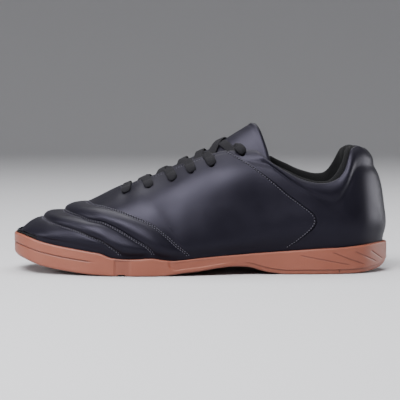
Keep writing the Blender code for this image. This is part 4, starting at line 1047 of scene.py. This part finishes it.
# Nylon thread, twisted and bonded: a little lighter than the leather, with strands of 0.25 mm
thread, tree, shader, spot = new_material("black_bonded_thread")
twist = add_node(tree, "TexNoise", {"Vector": spot, "Scale": 4.0, "Detail": 2.0})
strands = add_node(tree, "Bump", {"Height": twist.outputs[0], "Strength": 0.4, "Distance": 0.0001})
feed(tree, shader, {"Base Color": linear("45434F"), "Roughness": 0.5, "Normal": strands.outputs[0]})
# Needle holes: painted shade, a flat dark disc with no gloss for the dark of each deep hole. They
# are drawn a little larger than the real 0.8 mm, so that the rows show.
hole_shade_material, tree, shader, spot = new_material("needle_hole_painted_shade")
depth_noise = add_node(tree, "TexNoise", {"Vector": spot, "Scale": 2.0})
shadow = add_node(tree, "Mix",
                  {0: depth_noise.outputs[0], 6: linear("020203"), 7: linear("060608")},
                  data_type="RGBA")
feed(tree, shader, {"Base Color": shadow.outputs[2], "Roughness": 0.9, "Specular IOR Level": 0.1})
stitching = new_piece("quilt_and_seam_stitching", points, faces, [thread, hole_shade_material], slots)


# Insole: a removable footbed of thin foam under knitted cloth, cut to the outline inside the
# upper and pressed with a low raised edge. It lies loose on the sole.
INSOLE_THICKNESS = 0.0030
insole_turns = np.linspace(0.0, 1.0, 160)
insole_inset = LIP_WIDTH + GAP + WALL + 2 * GAP
points, faces = [], []
middle_place = centre_place(insole_turns)
middle_x, middle_y = along(middle_place), centre_side(middle_place)
middle_bed, edge_bed = bed_height(around(middle_place)), bed_height(insole_turns)
INSOLE_ROWS = (
    # share of the way in, share of the thickness, extra rise in mm
    (1.00, 0.0, 0.00), (0.50, 0.0, 0.00), (0.03, 0.0, 0.00), (0.00, 0.2, 0.00),
    (0.00, 0.8, 0.60), (0.02, 1.0, 0.90), (0.06, 1.0, 0.70), (0.14, 1.0, 0.25),
    (0.25, 1.0, 0.00), (0.45, 1.0, -0.20), (0.70, 1.0, -0.20), (1.00, 1.0, -0.10),
)
for side in SIDES:
    grid = []
    for share_in, share_up, rise in INSOLE_ROWS:
        x, y = inset_outline(side, insole_turns, insole_inset)
        if side == MEDIAL:
            end_x, end_y = inset_outline(LATERAL, insole_turns, insole_inset)
            x[[0, -1]], y[[0, -1]] = end_x[[0, -1]], end_y[[0, -1]]
        grid.append(np.stack([
            x * (1 - share_in) + middle_x * share_in, y * (1 - share_in) + middle_y * share_in,
            edge_bed * (1 - share_in) + middle_bed * share_in + 2 * GAP
            + share_up * INSOLE_THICKNESS + rise * MM], axis=-1))
    grid = np.stack(grid, axis=1)
    faces += grid_faces(len(insole_turns), len(INSOLE_ROWS), len(points))
    points += grid.reshape(-1, 3).tolist()
insole = new_piece("knit_covered_insole", points, faces, [lining])
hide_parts("insole")


# Collar lining: a soft roll of foam under knitted mesh along the inside of the collar. It
# stands a little above the leather's turned edge and is thickest behind the ankle.
PAD_CLEARANCE = 0.0006
PAD_START = 0.600
PAD_LEAN = 1.5
# down: mm below the leather's rim. depth: mm in from the leather, times the local fullness
PAD_PROFILE = (
    # down, depth
    (6.0, 0.10),
    (2.5, 0.05),
    (0.4, 0.05),
    (-1.7, 0.30),
    (-3.0, 1.20),
    (-3.2, 2.60),
    (-2.3, 4.00),
    (0.4, 5.20),
    (2.6, 6.10),
    (5.6, 6.60),
    (9.5, 6.50),
    (14.0, 5.60),
    (19.0, 4.10),
    (24.0, 2.50),
    (28.5, 1.10),
    (31.5, 0.35),
    (32.5, 0.10),
    (26.0, 0.05),
    (16.0, 0.05),
)
pad_turns = np.linspace(float(around(PAD_START)), 1.0, 150)
profile = np.array(PAD_PROFILE)
points, faces = [], []
pad_places = place_of(pad_turns)
full = 0.22 + 0.78 * ease(pad_places, 0.62, 0.78) + 0.45 * ease(pad_places, 0.87, 0.96)
length = 0.30 + 0.70 * ease(pad_places, 0.60, 0.74)
leaning = ease(pad_places, 0.835, 0.885) * (1 - ease(pad_places, 0.885, 0.925))
at_back = (np.arange(len(pad_turns)) == len(pad_turns) - 1)[:, None]
for side in SIDES:
    pad_reach = top_edge(side, pad_turns)
    probe = 0.20 + (pad_reach[:, None] - 0.20) * np.linspace(0, 1, 90)
    track = last_surface(side, pad_turns[:, None], probe)
    steps = np.linalg.norm(np.diff(track, axis=1), axis=2) / MM
    run = np.concatenate([np.zeros((len(pad_turns), 1)), np.cumsum(steps, axis=1)], axis=1)
    beyond = unit(track[:, -1] - track[:, -4])
    above = (0.55 + 0.45 * full + PAD_LEAN * leaning)[:, None]
    stretch = np.where(profile[:, 0] > 0, length[:, None], above)
    down = profile[:, 0] * stretch
    ups = np.array([np.interp(row[-1] - np.clip(drop, 0, row[-1] * 0.9), row, levels)
                    for drop, row, levels in zip(down, run, probe)])
    depth = WALL + PAD_CLEARANCE + profile[:, 1] * full[:, None] * MM
    rings = skin_point(side, np.broadcast_to(pad_turns[:, None], ups.shape), ups, -depth, at_back)
    rings = rings + np.clip(-down, 0, 12)[..., None] * MM * beyond[:, None]
    faces += grid_faces(len(pad_turns), len(profile), len(points), closed=True)
    faces.append(tuple(len(points) + i for i in range(len(profile))))
    points += rings.reshape(-1, 3).tolist()
collar = new_piece("collar_lining_roll", points, faces, [lining])
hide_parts("collar_pad")


# Tongue: a lightly padded sheet of the same leather under the lace, sewn in below the throat's
# front end and cut straight across its top, where it stands free.
TONGUE_THICKNESS = 0.0030
TONGUE_WIDTH = 0.0460
TONGUE_RISE = 0.0102
TONGUE_CLEARANCE = 0.0020
TONGUE_LIFT = 0.0022
TONGUE_START = 0.235
TONGUE_END = 0.635
TONGUE_SLANT = 0.0160
INSTEP_SLOPE = 0.30
MAP_STEP = 0.001
MAP_X = np.arange(-0.084, 0.0561, MAP_STEP)
MAP_Y = np.arange(-0.036, 0.0381, MAP_STEP)

section_places = np.linspace(0.15, THROAT_BACK, 80)
section_turns, section_ups = np.meshgrid(around(section_places), np.linspace(0.30, 1.0, 80),
                                         indexing="ij")
section_points = {side: (last_surface(side, section_turns, section_ups),
                         outward(side, section_turns, section_ups)) for side in SIDES}


def skin_row(x, off):
    """Heights of the last, moved off its surface, across the instep at one X."""
    place = min(max(x / LENGTH + 0.5, section_places[0]), section_places[-1])
    middle = float(centre_side(place))
    step = (place - section_places[0]) / (section_places[1] - section_places[0])
    low = min(int(step), len(section_places) - 2)
    total = np.zeros(len(MAP_Y))
    for row, weight in ((low, 1 - step + low), (low + 1, step - low)):
        for side in SIDES:
            spots, normals = section_points[side]
            moved = spots[row] + off * normals[row]
            reach = side * (moved[:, 1] - centre_side(section_places[row]))
            heights = np.interp(side * (MAP_Y - middle), reach[::-1], moved[::-1, 2])
            total += weight * np.where(side * (MAP_Y - middle) > 0, heights, 0.0)
    return total + (x - float(along(place))) * INSTEP_SLOPE


def read_map(heights, x, y):
    """Reads a height map of the instep between its points."""
    step_x = np.clip((np.asarray(x) - MAP_X[0]) / MAP_STEP, 0, len(MAP_X) - 1.001)
    step_y = np.clip((np.asarray(y) - MAP_Y[0]) / MAP_STEP, 0, len(MAP_Y) - 1.001)
    row, line = step_x.astype(int), step_y.astype(int)
    f, g = step_x - row, step_y - line
    return ((1 - f) * (1 - g) * heights[row, line] + f * (1 - g) * heights[row + 1, line]
            + (1 - f) * g * heights[row, line + 1] + f * g * heights[row + 1, line + 1])


def map_normal(heights, x, y, nudge=0.0015):
    """The upward direction of a height map at some spots."""
    slope_x = (read_map(heights, x + nudge, y) - read_map(heights, x - nudge, y)) / (2 * nudge)
    slope_y = (read_map(heights, x, y + nudge) - read_map(heights, x, y - nudge)) / (2 * nudge)
    return unit(np.stack([-slope_x, -slope_y, np.ones_like(slope_x)], axis=-1))


def level_out(heights, reach_x, reach_y):
    """Rounds a height map off by averaging over a few millimetres."""
    padded = np.pad(heights, ((reach_x, reach_x), (reach_y, reach_y)), mode="edge")
    total = np.zeros_like(heights)
    for i in range(2 * reach_x + 1):
        for j in range(2 * reach_y + 1):
            total += padded[i:i + heights.shape[0], j:j + heights.shape[1]]
    return total / ((2 * reach_x + 1) * (2 * reach_y + 1))


def tongue_heights():
    """Heights of the tongue's outside: under the lace panels, and raised between them."""
    rows, low_rows, clear_rows = [], [], []
    for x in MAP_X:
        place = x / LENGTH + 0.5
        half = float(throat_half(np.array(min(max(place, 0.0), THROAT_BACK)))) - TONGUE_LIFT
        low = skin_row(x, -WALL - TONGUE_CLEARANCE)
        flat = np.abs(MAP_Y - float(centre_side(place)))
        rise = TONGUE_LIFT + TONGUE_RISE * max(0.0, (place - 0.50) / (TONGUE_END - 0.50)) ** 1.5
        lift = 1 - np.minimum(flat / max(half, 0.001), 1.0) ** 1.6
        rows.append(low + (lift * rise if half > 0.002 else 0.0))
        low_rows.append(low)
        clear_rows.append(flat < half + 0.0005)
    rounded = level_out(np.array(rows), 2, 5)
    return np.where(np.array(clear_rows), rounded, np.minimum(rounded, np.array(low_rows)))


tongue_top = level_out(tongue_heights(), 1, 1)
across = np.sin(np.linspace(-math.pi / 2, math.pi / 2, 61))
across = 0.75 * across + 0.25 * np.linspace(-1, 1, 61)
lengthwise = np.linspace(0.0, 1.0, 110)
share_long, share_wide = np.meshgrid(lengthwise, across, indexing="ij")
place = TONGUE_START + (TONGUE_END - TONGUE_START) * share_long
reach = np.minimum(1.0, 0.60 + 1.6 * share_long)
slant = TONGUE_SLANT * np.maximum(0.0, (place - 0.45) / (TONGUE_END - 0.45))
x = along(place) + slant * np.abs(share_wide)
y = centre_side(place) + share_wide * reach * TONGUE_WIDTH / 2
top = np.stack([x, y, read_map(tongue_top, x, y)], axis=-1)
normals = map_normal(tongue_top, x, y, 0.003)
from_edge = np.minimum((1 - np.abs(share_wide)) * reach * TONGUE_WIDTH / 2, (1 - share_long) * 0.11) / MM
round_off = 1.3 * (1 - np.sqrt(1 - np.clip(1 - from_edge / 1.3, 0, 1) ** 2))
seam_dip = 0.35 * np.exp(-((from_edge - 2.6) / 0.6) ** 2)
top = top - normals * ((round_off + seam_dip) * MM)[..., None]
bottom = top - normals * ((TONGUE_THICKNESS / MM - 2 * round_off - seam_dip) * MM)[..., None]
points = [*top.reshape(-1, 3).tolist(), *bottom.reshape(-1, 3).tolist()]
shape = share_long.shape
count = shape[0] * shape[1]
faces = grid_faces(shape[0], shape[1]) + grid_faces(shape[0], shape[1], count)
slots = [0] * (len(faces) // 2) + [1] * (len(faces) // 2)
rim = [(0, j) for j in range(shape[1])] + [(i, shape[1] - 1) for i in range(1, shape[0])]
rim += [(shape[0] - 1, j) for j in range(shape[1] - 2, -1, -1)]
rim += [(i, 0) for i in range(shape[0] - 2, 0, -1)]
for index, here in enumerate(rim):
    there = rim[(index + 1) % len(rim)]
    a, b = here[0] * shape[1] + here[1], there[0] * shape[1] + there[1]
    faces.append((a, b, count + b, count + a))
    slots.append(0)
tongue = new_piece("leather_tongue", points, faces, [leather, lining], slots)
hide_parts("tongue")


# Lace: one flat woven lace of black polyester. It crosses the first pair of eyelets as a
# straight bar, then each strip comes up from under one side, crosses the tongue and dives
# into the next eyelet of the other side. Its ends stop inside the top pair.
LACE_WIDTH = 7.0
LACE_END_WIDTH = 4.4
PAST_EYELET = 0.0013
LACE_THICKNESS = 1.3
LACE_SIDES = 16
EDGE_PAST = 0.0045
UPPER_HUMP = 1.5
# The crossings, in mm: how far behind the eyelet before it each strip comes out of the throat,
# and how far its middle lies towards the toe
LACE_ROUTES = (
    # step, lean
    (8.0, 0.0),
    (4.6, 0.0),
    (3.6, 1.0),
    (2.6, 2.2),
    (-2.0, 5.0),
)
THROAT_TUCK = 0.0035
DIVE_LENGTH = 2.6
DIVE_DEPTH = 5.0
DIVE_RINGS = 9
LACE_PITCH = 0.45
# How high the lace's middle lies on what carries it, and how far out on the tongue it starts
# to ride on the leather
LACE_REST = 0.00075
EDGE_REST = 0.0016

inside_map = np.array([skin_row(x, -WALL - 0.9 * MM) for x in MAP_X])
outside_map = np.array([skin_row(x, PANEL_STEP + LACE_REST) for x in MAP_X])


def lace_surface(x, y, over_side):
    """Height of the lace's middle: inside the far panel, on the tongue or over the near panel."""
    place = np.clip(x / LENGTH + 0.5, 0.0, THROAT_BACK)
    flat = (y - centre_side(place)) * over_side
    half = throat_half(place)
    tongue = read_map(tongue_top, x, y) + LACE_REST
    over, under = read_map(outside_map, x, y), read_map(inside_map, x, y)
    height = np.where(flat < -half + 0.6 * MM, under, tongue)
    height = np.where(flat > half - EDGE_REST, over, height)
    return height, over, flat - half


def lace_track(spots, over_side, hump=0.0, dive_start=False, dive_end=True):
    """The middle line of one strip of lace, with widths: a plan route laid on the shoe."""
    spots = np.asarray(spots, float)
    steps = np.linalg.norm(np.diff(spots, axis=0), axis=1)
    run = np.concatenate([[0], np.cumsum(steps)]) / MM
    at = np.linspace(0, run[-1], int(run[-1] / LACE_PITCH))
    x, y = smooth_line(run, spots[:, 0], at), smooth_line(run, spots[:, 1], at)
    if over_side == 0:
        height = np.maximum(read_map(outside_map, x, y), 0)
        place = x / LENGTH + 0.5
        on_tongue = np.abs(y - centre_side(place)) < throat_half(place) - EDGE_REST
        over_tongue = np.maximum(read_map(tongue_top, x, y) + LACE_REST, height - 2.0 * MM)
        height = np.where(on_tongue, over_tongue, height)
        floor_height = np.where(on_tongue, 0.0, read_map(outside_map, x, y))
    else:
        height, over, beyond = lace_surface(x, y, over_side)
        floor_height = np.where(beyond > -1.0 * MM, over, 0.0)
    window = np.exp(-(np.arange(-9, 10) * LACE_PITCH / 2.2) ** 2)
    window = window / window.sum()
    height = np.convolve(np.pad(height, 9, mode="edge"), window, mode="valid")
    height = np.maximum(height, floor_height)
    middle = centre_side(np.clip(x / LENGTH + 0.5, 0, 1))
    height = height + hump * MM * np.exp(-((y - middle) / 0.0052) ** 2)
    normals = map_normal(level_out(outside_map, 2, 3), x, y, 0.003)
    width = np.full(len(at), LACE_WIDTH)
    if over_side:
        width = width - (LACE_WIDTH - LACE_END_WIDTH) * (1 - ease(at, 0.0, 8.0))
    lift = np.zeros(len(at))
    for wanted, away in ((dive_start, at), (dive_end, run[-1] - at)):
        if wanted:
            near = np.clip(away / DIVE_LENGTH, 0, 1)
            rounded = np.sqrt(1 - (1 - near) ** 2)
            width = np.minimum(width, LACE_END_WIDTH + (LACE_WIDTH - LACE_END_WIDTH) * rounded)
            lift = lift + 0.75 * np.sin(math.pi * np.clip(away / 7.0, 0, 1)) - 0.9 * (1 - near) ** 2
    track = np.stack([x, y, height], axis=-1) + normals * (lift * MM)[:, None]
    for wanted, way in ((dive_start, -1), (dive_end, 1)):
        if wanted:
            track, normals, width = track[::way], normals[::way], width[::way]
            deeper = np.linspace(0.5, DIVE_DEPTH, DIVE_RINGS)
            further = np.linspace(0.0, 1.0, DIVE_RINGS) ** 0.5 * PAST_EYELET
            down = track[-1] - normals[-1] * (deeper * MM)[:, None]
            down = down + unit(track[-2] - track[-1]) * further[:, None]
            track = np.concatenate([track, down])[::way]
            normals = np.concatenate([normals, np.repeat(normals[-1:], DIVE_RINGS, axis=0)])[::way]
            narrow = np.linspace(LACE_END_WIDTH, 3.0, DIVE_RINGS)
            width = np.concatenate([width, narrow])[::way]
    return track, normals, width


def lace_ribbon(track, normals, width):
    """Rings of a flat woven strip round its middle line, with places along and across it."""
    ways = unit(np.gradient(track, axis=0))
    sideways = unit(np.cross(normals, ways))
    weak = np.linalg.norm(np.cross(normals, ways), axis=1) < 0.35
    good = np.nonzero(~weak)[0]
    for index in np.nonzero(weak)[0]:
        sideways[index] = sideways[good[np.argmin(np.abs(good - index))]]
    up = unit(np.cross(ways, sideways))
    angles = 2 * math.pi * np.arange(LACE_SIDES) / LACE_SIDES
    flat = np.sign(np.cos(angles)) * np.abs(np.cos(angles)) ** 0.55
    thick = np.sign(np.sin(angles)) * np.abs(np.sin(angles)) ** 0.75
    run = np.concatenate([[0], np.cumsum(np.linalg.norm(np.diff(track, axis=0), axis=1))]) / MM
    crowd = 1 + 0.5 * (1 - width / LACE_WIDTH)
    wide, deep = (width / 2)[:, None, None] * MM, (LACE_THICKNESS / 2 * crowd)[:, None, None] * MM
    rings = (track[:, None] + sideways[:, None] * (flat[None, :, None] * wide)
             + up[:, None] * (thick[None, :, None] * deep))
    marks_along = np.repeat(run[:, None], LACE_SIDES, axis=1)
    marks_across = flat[None] * (width / 2)[:, None]
    return rings, marks_along, marks_across


def past(start, hole):
    """The far edge of an eyelet, seen from where its strip comes from."""
    return hole + unit(hole - start) * PAST_EYELET


first_pair = [eyelets[side][0][0][:2] for side in SIDES]
bar_ends = [past(first_pair[1], first_pair[0]), past(first_pair[0], first_pair[1])]
strips = [lace_track(bar_ends, 0, 0.0, True, True)]
for index in range(1, len(EYELETS)):
    before = EYELETS[index - 1, 0]
    inner = float(throat_half(np.array(max(before, THROAT_ROUND)))) - THROAT_TUCK
    step, lean = LACE_ROUTES[index - 1]
    start_x = float(along(before)) + step * MM
    for side in SIDES:
        hole = eyelets[-side][index - 1][0][:2]
        edge = np.array([start_x, float(centre_side(before)) - side * (inner + EDGE_PAST)])
        target = past(edge, eyelets[side][index][0][:2])
        turn_in = hole * 0.25 + edge * 0.75
        middle = (edge + target) / 2 - np.array([lean * MM, 0.0])
        hump = UPPER_HUMP if side == MEDIAL else 0.0
        strips.append(lace_track([hole, turn_in, edge, middle, target], side, hump))

points, faces, along_marks, across_marks = [], [], [], []
for track, normals, width in strips:
    rings, marks_along, marks_across = lace_ribbon(track, normals, width)
    base = len(points)
    faces += grid_faces(len(track), LACE_SIDES, base, closed=True)
    for end in (base, base + (len(track) - 1) * LACE_SIDES):
        faces.append(tuple(range(end, end + LACE_SIDES)))
    points += rings.reshape(-1, 3).tolist()
    along_marks += marks_along.reshape(-1).tolist()
    across_marks += marks_across.reshape(-1).tolist()

# Polyester, braided flat: dull black with a diagonal over and under pattern. It is drawn about
# 2.8 mm wide, coarser than the real 1 mm, so that it shows.
webbing, tree, shader, spot = new_material("black_woven_webbing")
lengthwise_mark = add_node(tree, "Attribute", {}, attribute_name="along_mm")
crosswise_mark = add_node(tree, "Attribute", {}, attribute_name="across_mm")
flat_spot = add_node(tree, "CombineXYZ", {0: lengthwise_mark.outputs["Fac"],
                                                    1: crosswise_mark.outputs["Fac"]})
braids = []
for angle in (math.radians(38), math.radians(-38)):
    turned = add_node(tree, "Mapping",
                      {"Vector": flat_spot.outputs[0], "Rotation": (0, 0, angle)})
    wave = add_node(tree, "TexWave", {"Vector": turned.outputs[0], "Scale": 0.36},
                    wave_type="BANDS", bands_direction="X")
    braids.append(wave)
braid = add_node(tree, "Math", {0: braids[0].outputs["Fac"], 1: braids[1].outputs["Fac"]},
                 operation="MULTIPLY")
fluff = add_node(tree, "TexNoise", {"Vector": spot, "Scale": 3.0, "Detail": 3.0})
shade = add_node(tree, "Mix", {0: braid.outputs[0], 6: linear("020204"), 7: linear("211F28")},
                 data_type="RGBA")
over_under = add_node(tree, "Bump",
                      {"Height": braid.outputs[0], "Strength": 0.8, "Distance": 0.0003})
fuzz = add_node(tree, "Bump", {"Height": fluff.outputs[0], "Strength": 0.3,
                               "Distance": 0.0001, "Normal": over_under.outputs[0]})
feed(tree, shader, {"Base Color": shade.outputs[2], "Roughness": 0.72, "Sheen Weight": 0.03,
                    "Specular IOR Level": 0.15, "Normal": fuzz.outputs[0]})
lace = new_piece("woven_lace", points, faces, [webbing],
                 marks={"along_mm": along_marks, "across_mm": across_marks})
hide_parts("lace_bar", *["lace_cross_%d" % index for index in range(1, len(EYELETS))])


# Floor and backdrop: one round sweep of matt pale paper, flat under the shoe and curved up
# into a low wall all round it, so that no view shows an edge.
SWEEP_FLAT = 2.0
SWEEP_BEND = 1.2
SWEEP_TOP = 2.6
sweep_profile = [(0.0, 0.0), (0.5, 0.0), (SWEEP_FLAT, 0.0)]
sweep_profile += [(SWEEP_FLAT + SWEEP_BEND * math.sin(bend), SWEEP_BEND * (1 - math.cos(bend)))
                  for bend in np.linspace(0, math.pi / 2, 17)[1:]]
sweep_profile.append((SWEEP_FLAT + SWEEP_BEND, SWEEP_TOP))
headings = np.linspace(0, 2 * math.pi, 97)[:-1]
points = [(0.0, 0.0, 0.0)]
points += [(r * math.cos(a), r * math.sin(a), z) for a in headings for r, z in sweep_profile[1:]]
steps = len(sweep_profile) - 1
faces = []
for index in range(len(headings)):
    here, there = 1 + index * steps, 1 + (index + 1) % len(headings) * steps
    faces.append((0, here, there))
    faces += [(here + i, here + i + 1, there + i + 1, there + i) for i in range(steps - 1)]
# Background paper, uncoated: an even matt pale grey with no gloss
paper, tree, shader, spot = new_material("pale_paper_sweep")
feed(tree, shader, {"Base Color": linear("B8B8BB"), "Roughness": 0.9, "Specular IOR Level": 0.15})
sweep_mesh = bpy.data.meshes.new("paper_sweep")
sweep_mesh.from_pydata(points, [], faces)
sweep_mesh.shade_smooth()
sweep_mesh.materials.append(paper)
sweep = bpy.data.objects.new("paper_sweep", sweep_mesh)
bpy.context.scene.collection.objects.link(sweep)


# Studio light: a large soft box over the toe for the broad highlights, one behind the shoe,
# small ones for the toe and the heel, and a pale scrim over everything.
world = bpy.data.worlds.new("studio")
bpy.context.scene.world = world
world.use_nodes = True
world.node_tree.nodes["Background"].inputs["Color"].default_value = linear("DFE0E6")
world.node_tree.nodes["Background"].inputs["Strength"].default_value = 0.05
# name, place, aimed at, size, power
for name, place, aim, size, power in (
        ("key_softbox", (-0.35, -0.75, 1.05), (0.0, 0.0, 0.05), 0.8, 38.0),
        ("top_softbox", (0.05, 0.45, 1.25), (0.0, 0.0, 0.05), 1.0, 18.0),
        ("toe_softbox", (-1.1, -0.45, 0.45), (-0.1, 0.0, 0.03), 0.4, 8.0),
        ("heel_softbox", (1.15, 0.30, 0.20), (0.12, 0.0, 0.06), 0.5, 9.0),
        ("ceiling_scrim", (0.0, 0.0, 3.2), (0.0, 0.0, 0.0), 5.0, 22.0)):
    light = bpy.data.lights.new(name, "AREA")
    light.size = size
    light.energy = power
    lamp = bpy.data.objects.new(name, light)
    lamp.location = place
    lamp.rotation_euler = (Vector(aim) - Vector(place)).to_track_quat("-Z", "Y").to_euler()
    bpy.context.scene.collection.objects.link(lamp)


# Camera: level with the shoe's outer side and a little above it, as in the photograph, from
# far enough away to keep the sole's line straight.
CAMERA_DISTANCE = 1.25
CAMERA_ELEVATION = 4.0
CAMERA_AIM = Vector((0.0, 0.0, 0.0511))
camera_data = bpy.data.cameras.new("camera")
camera_data.lens = 153.2
camera_data.sensor_width = 36.0
camera = bpy.data.objects.new("camera", camera_data)
elevation = math.radians(CAMERA_ELEVATION)
camera.location = CAMERA_AIM + CAMERA_DISTANCE * Vector((0, -math.cos(elevation), math.sin(elevation)))
camera.rotation_euler = (CAMERA_AIM - camera.location).to_track_quat("-Z", "Y").to_euler()
bpy.context.scene.collection.objects.link(camera)
bpy.context.scene.camera = camera

bpy.context.view_layer.update()
